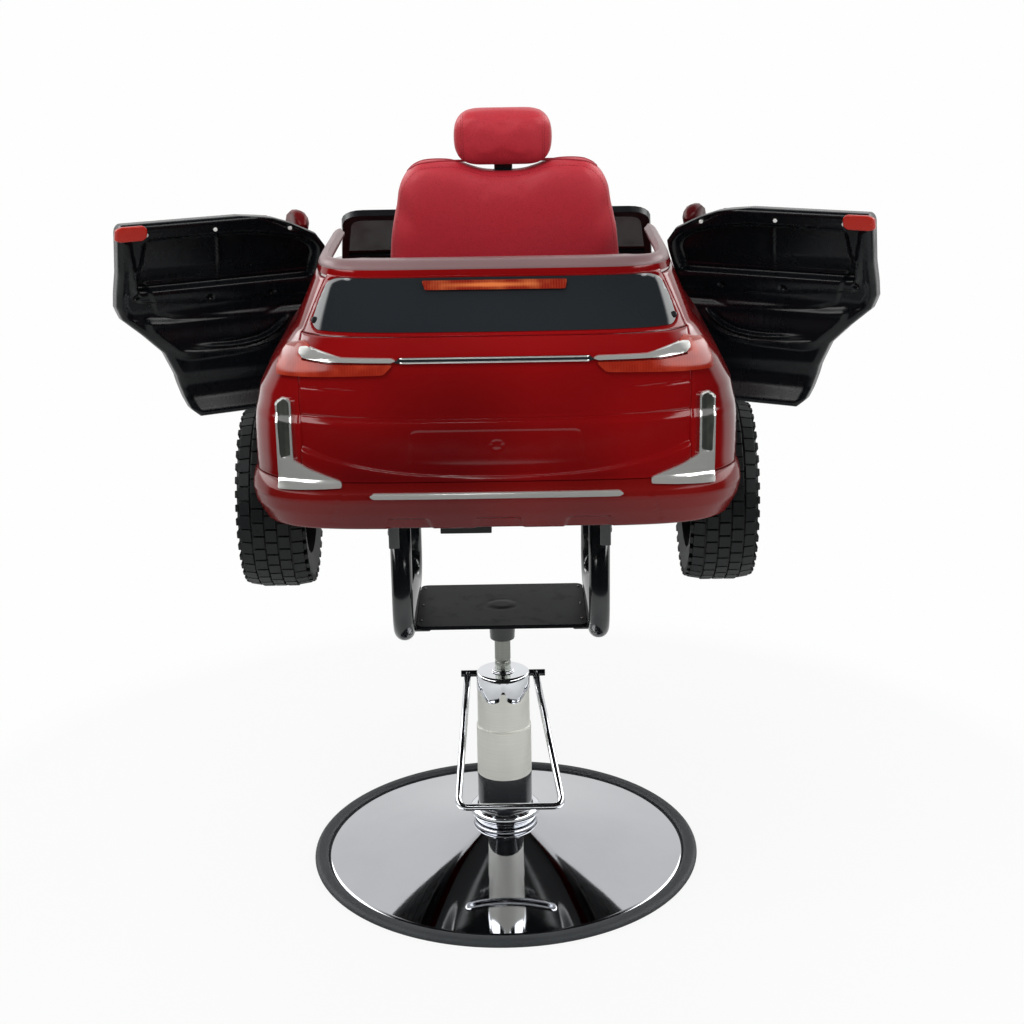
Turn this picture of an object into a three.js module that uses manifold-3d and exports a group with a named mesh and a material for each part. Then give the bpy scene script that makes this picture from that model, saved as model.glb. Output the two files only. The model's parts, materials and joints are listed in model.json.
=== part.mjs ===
// A child's barber chair: an upholstered seat inside a toy off-road car body with two doors, carried by
// bent side frames on a hydraulic pump and a round base. Millimetres, +Z up, the car's nose towards +Y.
// The origin is on the floor at the centre of the base.
import * as THREE from 'three';
import { mergeVertices } from 'three/addons/utils/BufferGeometryUtils.js';
import Module from 'manifold-3d';

const wasm = await Module();
wasm.setup();

// ---- driving dimensions ----------------------------------------------------------------------------
const runningGap = 0.3;          // between pieces that touch or turn in each other
const panelGap = 0.7;            // shut line between two body panels

const base = { radius: 320, ringWidth: 23, ringHeight: 13, domeRise: 60, domeWall: 3 };
const collar = { radius: 56, height: 36 };
const pump = { radius: 44, wall: 1.6, barrelTop: 292, boreRadius: 30, coverBottom: 146, bandTop: 225 };
const cap = { bottom: 262, top: 324, scallopDrop: 10 };
const gland = { radius: 19, height: 4 };
const ram = { radius: 12.8, bottom: 88, top: 424, pistonHeight: 24 };
const pedal = { shaftRadius: 5.5, shaftHalf: 69, shaftY: 24, shaftZ: 309, rod: 4.4, cornerRadius: 17 };
const loop = { topLeft: -58, topRight: 53, bottomLeft: -75, bottomRight: 93, reach: 118, drop: 168 };

const boss = { radius: 20, bottom: 381, topRadius: 30, collarHeight: 12 };
const plate = { halfWidth: 134, halfDepth: 104, thickness: 6, top: 436, corner: 12 };
const sideFrame = { tube: 28, legY: 150, bend: 55, barZ: 441, top: 649.5, flange: 22, flangeThickness: 4 };
const bracket = { width: 12, bottom: 594, depth: 70 };

const carMid = 28;               // the car's middle lies this far ahead of the pump in the car's own frame
const tub = { halfWidth: 236, rear: -235, front: 300, bottom: 650, floor: 8, wall: 8, top: 782 };
const deck = { thickness: 8 };
const sill = { halfWidth: 300, bottom: 690, top: 717, rear: -118, front: 232 };
const batteryBox = { left: -89, right: -12, rear: -130, front: -50, height: 49 };

const skin = 4;                  // wall of the moulded body panels
const wheel = { radius: 125, width: 96, inner: 254, axleZ: 726, rearY: -300, frontY: 392, rimRadius: 82,
  hubRadius: 26, hubLength: 70, discWall: 8, shoulder: 12, spokes: 5 };
const arch = { radius: 142 };
const axleRadius = 6;
const bumper = { bottom: 746, top: 808 };
const tailgate = { halfWidth: 246, top: 985 };
const glassTop = 1047;
const roof = { top: 1071, lipDepth: 58, railWidth: 18, railFront: -128 };
const nose = { tip: 601.7, bend: 420, sideRear: 243, shoulder: 925, cowlZ: 952, cowlFront: 345 };
const doorHinge = { x: 300, y: 232, openDegrees: 63, pin: 4, knuckle: 9, knuckleLow: 830,
  knuckleHigh: 900, lug: 16 };
const door = { skin: 5, depth: 34, bottom: 722, top: 1046, length: 345 };
const screen = { topY: 246, baseY: 334, topZ: 1040, frame: 13, thickness: 12, glass: 4 };
const steering = { x: -85, wheelRadius: 72, rim: 8, hubY: 196, hubZ: 958, tiltDegrees: 28, shaft: 9, column: 78 };

const seatX = 14;                // the seat stands a little to the right of the car's centre line
const seatPad = { halfWidth: 165, rear: -14, front: 208, bottom: 770, thickness: 70, flat: 2 };
const backPad = { thickness: 62, bottom: 806, top: 1168, y: -52, leanDegrees: 6 };
const headPad = { halfWidth: 70, height: 78, thickness: 62, bottom: backPad.top - 14 };
const headBar = { width: 26, thickness: 6, low: backPad.top - 128 };   // low: where the uprights end too

const sides = { base: 36, pump: 20, ram: 16, wheel: 20, pin: 12, arch: 30 };   // facets round each turned piece

// ---- finishes --------------------------------------------------------------------------------------
const finish = (color, roughness, metalness) => new THREE.MeshStandardMaterial({ color, roughness, metalness });
const redPaint = finish(0x9a0f12, 0.2, 0.35);
const redLeather = finish(0xb13642, 0.5, 0);
const chrome = finish(0xd8dade, 0.08, 1);
const satinSteel = finish(0xbcbcb6, 0.32, 1);
const blackPaint = finish(0x1a1d20, 0.3, 0.1);
const blackPlastic = finish(0x0c0d10, 0.5, 0);
const rubber = finish(0x1c1e1f, 0.75, 0);
const darkGlass = finish(0x1f2326, 0.08, 0);
const redLens = finish(0xb4341e, 0.15, 0);
const roofGrey = finish(0x5e4a4c, 0.25, 0.2);
const redPlastic = finish(0xbe2a20, 0.3, 0);

// ---- solids ----------------------------------------------------------------------------------------
function volumeOf(positions, index) {
  let six = 0;
  const a = new THREE.Vector3();
  const b = new THREE.Vector3();
  const c = new THREE.Vector3();
  for (let i = 0; i < index.length; i += 3) {
    a.fromArray(positions, index[i] * 3);
    b.fromArray(positions, index[i + 1] * 3);
    c.fromArray(positions, index[i + 2] * 3);
    six += a.dot(b.cross(c));
  }
  return six / 6;
}

// A geometry becomes a solid with its faces pointing outwards.
function solid(geometry) {
  const bare = geometry.clone();
  bare.deleteAttribute('normal');
  bare.deleteAttribute('uv');
  const merged = mergeVertices(bare, 1e-3);
  const vertProperties = Float32Array.from(merged.attributes.position.array);
  const triVerts = Uint32Array.from(merged.index.array);
  if (volumeOf(vertProperties, triVerts) < 0) {
    for (let i = 0; i < triVerts.length; i += 3) {
      [triVerts[i], triVerts[i + 1]] = [triVerts[i + 1], triVerts[i]];
    }
  }
  return new wasm.Manifold(new wasm.Mesh({ numProp: 3, vertProperties, triVerts }));
}

function geometryOf(manifold) {
  const mesh = manifold.getMesh();
  const geometry = new THREE.BufferGeometry();
  geometry.setAttribute('position', new THREE.BufferAttribute(mesh.vertProperties, 3));
  geometry.setIndex(new THREE.BufferAttribute(mesh.triVerts, 1));
  return geometry;
}

const box = (x0, x1, y0, y1, z0, z1) => solid(
  new THREE.BoxGeometry(x1 - x0, y1 - y0, z1 - z0).translate((x0 + x1) / 2, (y0 + y1) / 2, (z0 + z1) / 2),
);

// A rod between two points.
function rod(from, to, radius, facets = 14, endRadius = radius) {
  const start = new THREE.Vector3(...from);
  const end = new THREE.Vector3(...to);
  const length = start.distanceTo(end);
  const geometry = new THREE.CylinderGeometry(endRadius, radius, length, facets);
  const turn = new THREE.Quaternion().setFromUnitVectors(
    new THREE.Vector3(0, 1, 0), end.clone().sub(start).normalize());
  geometry.applyQuaternion(turn);
  const middle = start.add(end).multiplyScalar(0.5);
  return solid(geometry.translate(middle.x, middle.y, middle.z));
}

// A profile of [radius, height] points turned about +Z.
function turned(profile, segments = 40) {
  const points = profile.map(([r, z]) => new THREE.Vector2(r, z));
  return solid(new THREE.LatheGeometry(points, segments).rotateX(Math.PI / 2));
}

const closedProfile = (points) => [...points, points[0]];

// The main body of a cut piece, without the slivers that a cut leaves in shut lines.
const mainBody = (manifold) => manifold.decompose().sort((a, b) => b.volume() - a.volume())[0];

// A flat outline of [u, v] points given a thickness along +w, then placed by a function.
function extruded(outline, thickness, place) {
  const shape = outline instanceof THREE.Shape
    ? outline : new THREE.Shape(outline.map(([u, v]) => new THREE.Vector2(u, v)));
  const geometry = new THREE.ExtrudeGeometry(shape, { depth: thickness, bevelEnabled: false, curveSegments: 6 });
  return solid(place ? place(geometry) : geometry);
}

// Turns an outline drawn in Y and Z, extruded along its normal, so that its thickness runs along +X.
const alongX = (x) => (geometry) => geometry.rotateY(Math.PI / 2).rotateX(Math.PI / 2).translate(x, 0, 0);

// A solid between two grids of points, given as rows, with walls along the four borders.
function sheet(outer, inner) {
  const rows = outer.length;
  const columns = outer[0].length;
  const positions = [];
  for (const grid of [outer, inner]) {
    for (const row of grid) {
      for (const p of row) positions.push(p[0], p[1], p[2]);
    }
  }
  const at = (side, r, c) => side * rows * columns + r * columns + c;
  const index = [];
  const quad = (a, b, c, d) => index.push(a, b, c, a, c, d);
  for (let r = 0; r < rows - 1; r += 1) {
    for (let c = 0; c < columns - 1; c += 1) {
      quad(at(0, r, c), at(0, r, c + 1), at(0, r + 1, c + 1), at(0, r + 1, c));
      quad(at(1, r, c), at(1, r + 1, c), at(1, r + 1, c + 1), at(1, r, c + 1));
    }
  }
  for (let c = 0; c < columns - 1; c += 1) {
    quad(at(0, 0, c), at(1, 0, c), at(1, 0, c + 1), at(0, 0, c + 1));
    quad(at(0, rows - 1, c), at(0, rows - 1, c + 1), at(1, rows - 1, c + 1), at(1, rows - 1, c));
  }
  for (let r = 0; r < rows - 1; r += 1) {
    quad(at(0, r, 0), at(0, r + 1, 0), at(1, r + 1, 0), at(1, r, 0));
    quad(at(0, r, columns - 1), at(1, r, columns - 1), at(1, r + 1, columns - 1), at(0, r + 1, columns - 1));
  }
  const geometry = new THREE.BufferGeometry();
  geometry.setAttribute('position', new THREE.Float32BufferAttribute(positions, 3));
  geometry.setIndex(index);
  return solid(geometry);
}

// A solid through closed loops of points, capped at both ends.
function loft(loops) {
  const count = loops[0].length;
  const positions = loops.flat(2);
  const index = [];
  for (let r = 0; r < loops.length - 1; r += 1) {
    for (let c = 0; c < count; c += 1) {
      const n = (c + 1) % count;
      const a = r * count + c;
      const b = r * count + n;
      index.push(a, b, b + count, a, b + count, a + count);
    }
  }
  for (const [r, flip] of [[0, true], [loops.length - 1, false]]) {
    const flat = loops[r].map((p) => new THREE.Vector3(...p));
    const normal = new THREE.Vector3();
    flat.forEach((p, i) => normal.add(p.clone().cross(flat[(i + 1) % count])));
    const u = flat[1].clone().sub(flat[0]).normalize();
    const v = normal.normalize().clone().cross(u);
    const ends = THREE.ShapeUtils.triangulateShape(flat.map((p) => new THREE.Vector2(p.dot(u), p.dot(v))), []);
    for (const [a, b, c] of ends) {
      if (flip) index.push(r * count + a, r * count + c, r * count + b);
      else index.push(r * count + a, r * count + b, r * count + c);
    }
  }
  const geometry = new THREE.BufferGeometry();
  geometry.setAttribute('position', new THREE.Float32BufferAttribute(positions, 3));
  geometry.setIndex(index);
  return solid(geometry);
}

// A tube of an oval section along a path of points with rounded corners.
function tubeAlong(points, bend, halfU, halfV, sides, closed = false) {
  const path = new THREE.CurvePath();
  const count = points.length;
  const vectors = points.map((p) => new THREE.Vector3(...p));
  const cut = (from, corner) => corner.clone().add(from.clone().sub(corner).setLength(bend));
  const corners = vectors.map((p, i) => {
    if (!closed && (i === 0 || i === count - 1)) return null;
    return [cut(vectors[(i + count - 1) % count], p), p, cut(vectors[(i + 1) % count], p)];
  });
  const lengths = [];
  const straight = (a, b) => {
    if (a.distanceTo(b) > 0.01) lengths.push([a, b]);
  };
  const samples = [];
  corners.forEach((corner, i) => {
    if (!corner) {
      samples.push(vectors[i]);
      return;
    }
    const arc = new THREE.QuadraticBezierCurve3(corner[0], corner[1], corner[2]);
    for (let k = 0; k <= 4; k += 1) samples.push(arc.getPoint(k / 4));
  });
  if (closed) samples.push(samples[0].clone());
  for (let i = 0; i < samples.length - 1; i += 1) straight(samples[i], samples[i + 1]);
  for (const [a, b] of lengths) path.add(new THREE.LineCurve3(a, b));
  const section = [];
  for (let k = 0; k < sides; k += 1) {
    const angle = (2 * Math.PI * (k + 0.5)) / sides;
    section.push([halfU * Math.cos(angle), halfV * Math.sin(angle)]);
  }
  const knots = [lengths[0][0], ...lengths.map(([, b]) => b)];
  const plane = new THREE.Vector3();
  knots.forEach((p, i) => plane.add(p.clone().sub(knots[0]).cross(knots[(i + 1) % knots.length].clone().sub(knots[0]))));
  plane.normalize();
  const ring = (i) => {
    const before = knots[Math.max(i - 1, 0)];
    const after = knots[Math.min(i + 1, knots.length - 1)];
    let along = after.clone().sub(before).normalize();
    if (closed && (i === 0 || i === knots.length - 1)) {
      along = knots[1].clone().sub(knots[knots.length - 2]).normalize();
    }
    const side = plane.clone().cross(along).normalize();
    return section.map(([u, v]) => {
      const p = knots[i].clone().addScaledVector(side, u).addScaledVector(plane, v);
      return [p.x, p.y, p.z];
    });
  };
  const rings = knots.map((unused, i) => ring(i));
  if (!closed) return loft(rings);
  const positions = rings.slice(0, -1).flat(2);
  const total = rings.length - 1;
  const index = [];
  for (let r = 0; r < total; r += 1) {
    for (let c = 0; c < sides; c += 1) {
      const a = r * sides + c;
      const b = r * sides + ((c + 1) % sides);
      const a2 = ((r + 1) % total) * sides + c;
      const b2 = ((r + 1) % total) * sides + ((c + 1) % sides);
      index.push(a, b, b2, a, b2, a2);
    }
  }
  const geometry = new THREE.BufferGeometry();
  geometry.setAttribute('position', new THREE.Float32BufferAttribute(positions, 3));
  geometry.setIndex(index);
  return solid(geometry);
}

// A stuffed pad: rings run from the rim to the middle of each face. The outline is drawn in u and v,
// and place turns [u, v, w] into a point, w being the way through the pad.
function pad(outline, thickness, rings, place, middle) {
  const count = outline.length;
  const loops = [];
  for (const [share, half, draw] of rings) {
    loops.push({ share, w: half * thickness, draw });
  }
  const ringPoints = (share, w, draw) => outline.map(([u, v]) => place(
    middle[0] + (u - middle[0]) * (1 - share) * (1 - draw),
    middle[1] + (v - middle[1]) * (1 - share) * (1 - draw), w));
  const rows = [
    ...loops.slice().reverse().map((l) => ringPoints(l.share, l.w, l.draw)),
    ...loops.slice(1).map((l) => ringPoints(l.share, -l.w, l.draw)),
  ];
  const front = loops[loops.length - 1];
  const positions = [...rows.flat(2), ...place(...middle, front.w), ...place(...middle, -front.w)];
  const index = [];
  for (let r = 0; r < rows.length - 1; r += 1) {
    for (let c = 0; c < count; c += 1) {
      const n = (c + 1) % count;
      const a = r * count + c;
      const b = r * count + n;
      index.push(a, b, b + count, a, b + count, a + count);
    }
  }
  const frontCentre = rows.length * count;
  const last = (rows.length - 1) * count;
  for (let c = 0; c < count; c += 1) {
    const n = (c + 1) % count;
    index.push(frontCentre, n, c);
    index.push(frontCentre + 1, last + c, last + n);
  }
  const geometry = new THREE.BufferGeometry();
  geometry.setAttribute('position', new THREE.Float32BufferAttribute(positions, 3));
  geometry.setIndex(index);
  return solid(geometry);
}

// Rim, piping and crown of a pad: [share of the way in, half thickness as a share, drawn-in side].
const padRings = [
  [0, 0, 0.015], [0, 0.24, 0.008], [0.01, 0.36, 0], [0.06, 0.42, 0], [0.09, 0.41, 0], [0.14, 0.45, 0],
  [0.5, 0.5, 0],
];

// A rectangle with rounded corners, centred on u = v = 0.
function roundedRectangle(halfU, halfV, radius, steps = 5) {
  const points = [];
  const corners = [[halfU, halfV, 0], [-halfU, halfV, 1], [-halfU, -halfV, 2], [halfU, -halfV, 3]];
  for (const [u, v, quarter] of corners) {
    const cu = u - Math.sign(u) * radius;
    const cv = v - Math.sign(v) * radius;
    for (let k = 0; k <= steps; k += 1) {
      const angle = (quarter + k / steps) * (Math.PI / 2);
      points.push([cu + radius * Math.cos(angle), cv + radius * Math.sin(angle)]);
    }
  }
  return points;
}

const blend = (low, high, t) => low + (high - low) * t;
const eased = (t) => {
  const s = Math.min(Math.max(t, 0), 1);
  return s * s * (3 - 2 * s);
};

// ---- the car's skin --------------------------------------------------------------------------------
// Plan outlines of the body by height: half width, where the corner starts to bend, the rearmost Y, and
// how square the corner is.
const rearLevels = [
  { z: 746, half: 288, bend: -330, end: -502, square: 4 },
  { z: 768, half: 304, bend: -330, end: -530, square: 4.2 },
  { z: 788, half: 311, bend: -330, end: -545, square: 4.5 },
  { z: 800, half: 312, bend: -330, end: -545, square: 4.5 },
  { z: 809, half: 312, bend: -330, end: -527, square: 4.5 },
  { z: 835, half: 312, bend: -330, end: -528, square: 4.5 },
  { z: 884, half: 311, bend: -330, end: -526, square: 4.5 },
  { z: 890, half: 310, bend: -330, end: -520, square: 4.5 },
  { z: 914, half: 307, bend: -330, end: -519, square: 4.5 },
  { z: 948, half: 290, bend: -320, end: -518, square: 4.8 },
  { z: 966, half: 277, bend: -300, end: -513, square: 5 },
  { z: 985, half: 263, bend: -270, end: -486, square: 5 },
  { z: 1047, half: 236, bend: -170, end: -429, square: 7 },
  { z: 1071, half: 229, bend: -150, end: -418, square: 8 },
];
const frontLevels = [
  { z: 746, half: 290, bend: nose.bend, end: nose.tip - 32, square: 3.4 },
  { z: 790, half: 311, bend: nose.bend, end: nose.tip, square: 3.6 },
  { z: 850, half: 312, bend: nose.bend, end: nose.tip - 4, square: 3.6 },
  { z: nose.shoulder, half: 304, bend: nose.bend, end: nose.tip - 26, square: 3.4 },
];

function levelAt(levels, z) {
  const last = levels.length - 1;
  const clamped = Math.min(Math.max(z, levels[0].z), levels[last].z);
  const upper = Math.max(1, levels.findIndex((level) => level.z >= clamped));
  const a = levels[upper - 1];
  const b = levels[upper];
  const t = (clamped - a.z) / (b.z - a.z);
  const mix = (key) => blend(a[key], b[key], t);
  return { z, half: mix('half'), bend: mix('bend'), end: mix('end'), square: mix('square') };
}

// The fenders swell over the wheels.
const flareWidth = 14;
const flareTop = 900;
function flare(y, z, axleY) {
  const along = 1 - eased((Math.abs(y - axleY) - arch.radius - 4) / 44);
  const up = 1 - eased((z - flareTop + 40) / 60);
  return flareWidth * along * up;
}

// A point of the skin: turn runs from 0, at the side where the corner starts, to 1 at the centre line.
function skinPoint(level, turn, side, axleY, inset) {
  const angle = (turn * Math.PI) / 2;
  const power = 2 / level.square;
  const half = level.half - inset;
  const depth = Math.abs(level.end - level.bend) - inset;
  const sense = Math.sign(level.end - level.bend);
  const y = level.bend + sense * depth * Math.sin(angle) ** power;
  const x = half * Math.cos(angle) ** power;
  const bulge = flare(y, level.z, axleY) * Math.min(1, x / half);
  return [side * (x + bulge), y, level.z];
}

// The turn at which the skin of a level stands x from the centre line.
function turnAt(level, x, inset) {
  const ratio = Math.min(x / (level.half - inset), 1);
  return (Math.acos(ratio ** (level.square / 2)) * 2) / Math.PI;
}

const sideX = (z) => levelAt(rearLevels, z).half;

// Rows of heights between two limits, with the given crease heights kept.
function heights(low, high, creases) {
  return [low, ...creases.filter((z) => z > low + 2 && z < high - 2), high];
}

// A panel grown by a clearance also reaches past its shut lines, to cut what is laid over them.
const overlapOf = (grow) => (grow > 0 ? panelGap + grow : 0);

// A panel across the back of the car, between x = -half and x = half.
function rearPanel(low, high, halfAt, columns, grow = 0) {
  const past = overlapOf(grow);
  const rows = heights(low - past, high + past, rearLevels.map((level) => level.z));
  const grid = (inset) => rows.map((z) => {
    const level = levelAt(rearLevels, z);
    const points = [];
    for (let c = 0; c <= columns; c += 1) {
      const x = (halfAt(z) + past) * ((2 * c) / columns - 1);
      const p = skinPoint(level, turnAt(level, Math.abs(x), inset), Math.sign(x) || 1, wheel.rearY, inset);
      points.push([x, p[1], z]);
    }
    return points;
  });
  return sheet(grid(-grow), grid(skin + grow));
}

// Where the rear edge of the closed door lies at a height, and where the body meets it.
const doorEdge = [
  [722, 214], [740, 232], [760, 240], [804, 256], [842, 276], [872, 308], [903, 336], [925, 338],
  [1046, 345],
];
function doorReach(z) {
  const upper = Math.max(1, doorEdge.findIndex(([height]) => height >= z));
  const [z0, s0] = doorEdge[upper - 1];
  const [z1, s1] = doorEdge[upper];
  return blend(s0, s1, Math.min(Math.max((z - z0) / (z1 - z0), 0), 1));
}
const doorClearance = 5;

// One rear quarter: from the tailgate or the window round the corner and forward to the door.
function quarterPanel(side, grow = 0) {
  const low = bumper.top + panelGap;
  const high = glassTop;
  const rows = heights(low, high, [842, 872, 884, 903, 925, 948, 966, 985]);
  const cornerColumns = 8;
  const sideColumns = 4;
  const grid = (inset) => rows.map((z) => {
    const level = levelAt(rearLevels, z);
    const inner = (z <= tailgate.top + 0.5 ? tailgate.halfWidth : windowHalf(z)) + panelGap - 2 * grow;
    const start = turnAt(level, inner, Math.max(inset, 0));
    const points = [];
    for (let c = 0; c <= cornerColumns; c += 1) {
      points.push(skinPoint(level, start * (1 - c / cornerColumns), side, wheel.rearY, inset));
    }
    const front = doorHinge.y - doorReach(Math.min(z, door.top)) - doorClearance;
    for (let c = 1; c <= sideColumns; c += 1) {
      const y = blend(level.bend, front, c / sideColumns);
      points.push([side * (level.half - inset + flare(y, z, wheel.rearY)), y, z]);
    }
    return points;
  });
  const archCut = rod([side * 150, wheel.rearY, wheel.axleZ], [side * 400, wheel.rearY, wheel.axleZ],
    arch.radius, sides.arch);
  return sheet(grid(-grow), grid(skin + grow)).subtract(archCut);
}

const windowHalf = (z) => blend(244, 216, (z - tailgate.top) / (glassTop - tailgate.top));

// The bumper wraps from wheel arch to wheel arch, with stepped cut-outs along its lower edge.
function rearBumper(grow = 0) {
  const rows = heights(bumper.bottom, bumper.top + overlapOf(grow), [768, 788, 800]);
  const columns = 11;
  const grid = (inset) => rows.map((z) => {
    const level = levelAt(rearLevels, z);
    const points = [];
    for (let c = -columns; c <= columns; c += 1) {
      const turn = 1 - Math.abs(c) / columns;
      points.push(skinPoint(level, turn, Math.sign(c) || 1, wheel.rearY, inset));
    }
    return points;
  });
  let body = sheet(grid(-grow), grid(skin + grow));
  body = body.subtract(rod([-400, wheel.rearY, wheel.axleZ], [400, wheel.rearY, wheel.axleZ], arch.radius, sides.arch));
  const notches = [[-152, 70], [-4, 56], [140, 74]];
  for (const [x, width] of notches) {
    const foot = [[x - width / 2, bumper.bottom - 1], [x + width / 2, bumper.bottom - 1],
      [x + width / 2 - 7, bumper.bottom + 6], [x - width / 2 + 7, bumper.bottom + 6]];
    body = body.subtract(extruded(foot, 120, (g) => g.rotateX(Math.PI / 2).translate(0, -440, 0)));
  }
  return body;
}

// The rear roof frame: a deep lip over the window that runs forward as two rails above the quarters.
function roofFrame() {
  const level = levelAt(rearLevels, roof.top);
  const low = glassTop + runningGap;
  const sill = levelAt(rearLevels, low);
  // The section's foot follows the skin below it, and its top stands back on the roof line.
  const section = (p, normal, depth, share) => {
    const foot = blend(sill.half - level.half, level.end - sill.end, share);
    const profile = [[foot, low], [foot - 1, low + 5], [1, roof.top - 6], [-6, roof.top], [-depth + 5, roof.top],
      [-depth, roof.top - 5], [-depth, low]];
    return profile.map(([out, z]) => [p[0] + normal[0] * out, p[1] + normal[1] * out, z]);
  };
  const path = [];
  const steps = 8;
  path.push([-level.half, roof.railFront]);
  for (let k = 0; k <= steps; k += 1) {
    const p = skinPoint(level, k / steps, -1, 0, 0);
    path.push([p[0] - (k === steps ? p[0] : 0), p[1]]);
  }
  const full = [...path, ...path.slice(0, -1).reverse().map(([x, y]) => [-x, y])];
  const loops = full.map((p, i) => {
    const a = full[Math.max(i - 1, 0)];
    const b = full[Math.min(i + 1, full.length - 1)];
    const along = new THREE.Vector2(b[0] - a[0], b[1] - a[1]).normalize();
    const normal = [along.y, -along.x];
    const share = Math.abs(normal[1]) ** 3;
    const facing = [normal[0] * (normal[0] * p[0] + normal[1] * (p[1] + 200) > 0 ? 1 : -1),
      normal[1] * (normal[0] * p[0] + normal[1] * (p[1] + 200) > 0 ? 1 : -1)];
    return section(p, facing, blend(roof.railWidth, roof.lipDepth, share), share);
  });
  return loft(loops);
}

// The L-shaped lamp surround: a narrow upright with a tapered foot that points inwards.
function cornerLamp(side) {
  const outline = [[191, 815], [195, 821], [226, 831], [245, 845], [249, 913], [255, 920], [267, 920], [272, 913],
    [279, 816], [275, 810], [200, 810]];
  const block = extruded(outline.map(([x, z]) => [side * x, z]), 200,
    (g) => g.rotateX(Math.PI / 2).translate(0, -400, 0));
  const low = bumper.top + panelGap;
  const high = 922;
  const rows = heights(low, high, [835, 884, 914]);
  const grid = (out) => rows.map((z) => {
    const level = levelAt(rearLevels, z);
    const points = [];
    for (let c = 0; c <= 5; c += 1) {
      const x = blend(186, 284, c / 5);
      const p = skinPoint(level, turnAt(level, x, -out), side, 0, -out);
      points.push([side * x, p[1], z]);
    }
    return points;
  });
  return mainBody(sheet(grid(6), grid(-1)).intersect(block).subtract(tailSkin)
    .subtract(quarterPanel(side, 2 * runningGap)));
}

// ---- doors -----------------------------------------------------------------------------------------
// A door leaf drawn closed: s is the distance behind the hinge line.
function doorOutline(margin) {
  const bottom = door.bottom + margin;
  const top = door.top - margin;
  const inner = 4 + margin;
  return [
    [inner, bottom], [doorReach(bottom) - margin, bottom], [232 - margin, 742], [240 - margin, 762],
    [256 - margin, 804], [276 - margin, 842], [308 - margin, 872], [336 - margin, 903],
    [338 - margin, 925], [door.length - margin, top - 6], [door.length - margin - 6, top], [66 + margin, top],
    [inner, 996 - margin],
  ];
}

const doorRows = [722, 742, 804, 860, 914, 948, 985, 1046];

// A slab that follows the car's side, between two distances inside its skin.
function sideSlab(side, from, to) {
  const grid = (inset) => doorRows.map((z, i) => {
    const height = z + (i === 0 ? -2 : 0) + (i === doorRows.length - 1 ? 2 : 0);
    return [-130, 240].map((y) => [side * (sideX(height) - inset), y, height]);
  });
  return sheet(grid(from), grid(to));
}

function doorBlock(side, outline, from, to) {
  const flat = outline.map(([s, z]) => [doorHinge.y - s, z]);
  const block = extruded(flat, 220, alongX(side > 0 ? 180 : -400));
  return sideSlab(side, from, to).intersect(block);
}

function doorShell(side) {
  let shell = doorBlock(side, doorOutline(0), 0, door.skin);
  const { knuckleLow, knuckleHigh, lug } = doorHinge;
  const axis = [side * doorHinge.x, doorHinge.y];
  shell = shell.subtract(rod([...axis, knuckleLow - lug - 2], [...axis, knuckleHigh + lug + 2],
    doorHinge.knuckle + 1.5, 16));
  const knuckle = rod([...axis, knuckleLow], [...axis, knuckleHigh], doorHinge.knuckle, 16);
  const arm = box(Math.min(side * 293, side * 309), Math.max(side * 293, side * 309), doorHinge.y - 22,
    doorHinge.y - 4, knuckleLow, knuckleHigh);
  shell = shell.add(knuckle).add(arm);
  const bore = rod([...axis, knuckleLow - 5], [...axis, knuckleHigh + 5], doorHinge.pin + runningGap, sides.pin);
  return shell.subtract(bore);
}

// The moulded inner trim: a raised frame round a recessed window panel, a sill band, an armrest with a
// pull, and a lower pocket.
function doorTrim(side) {
  const rim = doorOutline(7);
  const from = door.skin + runningGap;
  const clip = box(Math.min(side * 180, side * 400), Math.max(side * 180, side * 400), -140,
    doorHinge.y - 26, 700, 1100);
  let trim = doorBlock(side, rim, from, door.depth).intersect(clip);
  const recess = (outline, depth) => {
    const cut = extruded(outline.map(([s, z]) => [doorHinge.y - s, z]), 220, alongX(side > 0 ? 100 : -320));
    trim = trim.subtract(sideSlab(side, door.depth - depth, door.depth + 60).intersect(cut));
  };
  recess([[44, 938], [318, 938], [318, 1015], [80, 1015], [44, 990]], 18);
  recess([[60, 752], [226, 752], [250, 800], [268, 834], [60, 834]], 14);
  recess([[50, 852], [278, 852], [300, 880], [292, 896], [50, 890]], 8);
  const divider = extruded([[188, 936], [196, 936], [196, 1017], [188, 1017]].map(([s, z]) => [doorHinge.y - s, z]),
    220, alongX(side > 0 ? 100 : -320));
  trim = trim.add(sideSlab(side, door.depth - 19, door.depth - 9).intersect(divider));
  const pull = [[92, 880], [128, 860], [168, 850], [255, 850], [255, 858], [170, 859], [134, 868], [98, 888]];
  const grip = extruded(pull.map(([s, z]) => [doorHinge.y - s, z]), 220, alongX(side > 0 ? 100 : -320));
  trim = trim.add(sideSlab(side, door.depth - 12, door.depth + 9).intersect(grip));
  const bar = extruded([[324, 930], [334, 930], [334, 1002], [324, 1002]].map(([s, z]) => [doorHinge.y - s, z]),
    220, alongX(side > 0 ? 100 : -320));
  trim = trim.add(sideSlab(side, door.depth - 22, door.depth + 3).intersect(bar));
  return trim;
}

const latch = { s: 322, z: 1032, back: 22, front: 27, half: 12 };
function doorLatch(side) {
  const { back, front, half } = latch;
  const outline = [[-back, 5 - half], [6 - back, -half], [front - 9, -half], [front, 3 - half], [front, half - 4],
    [front - 9, half], [6 - back, half], [-back, half - 6]];
  const flat = outline.map(([s, z]) => [doorHinge.y - latch.s - s, latch.z + z]);
  const block = extruded(flat, 220, alongX(side > 0 ? 100 : -320));
  return sideSlab(side, door.depth + runningGap, door.depth + 12).intersect(block);
}

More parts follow.
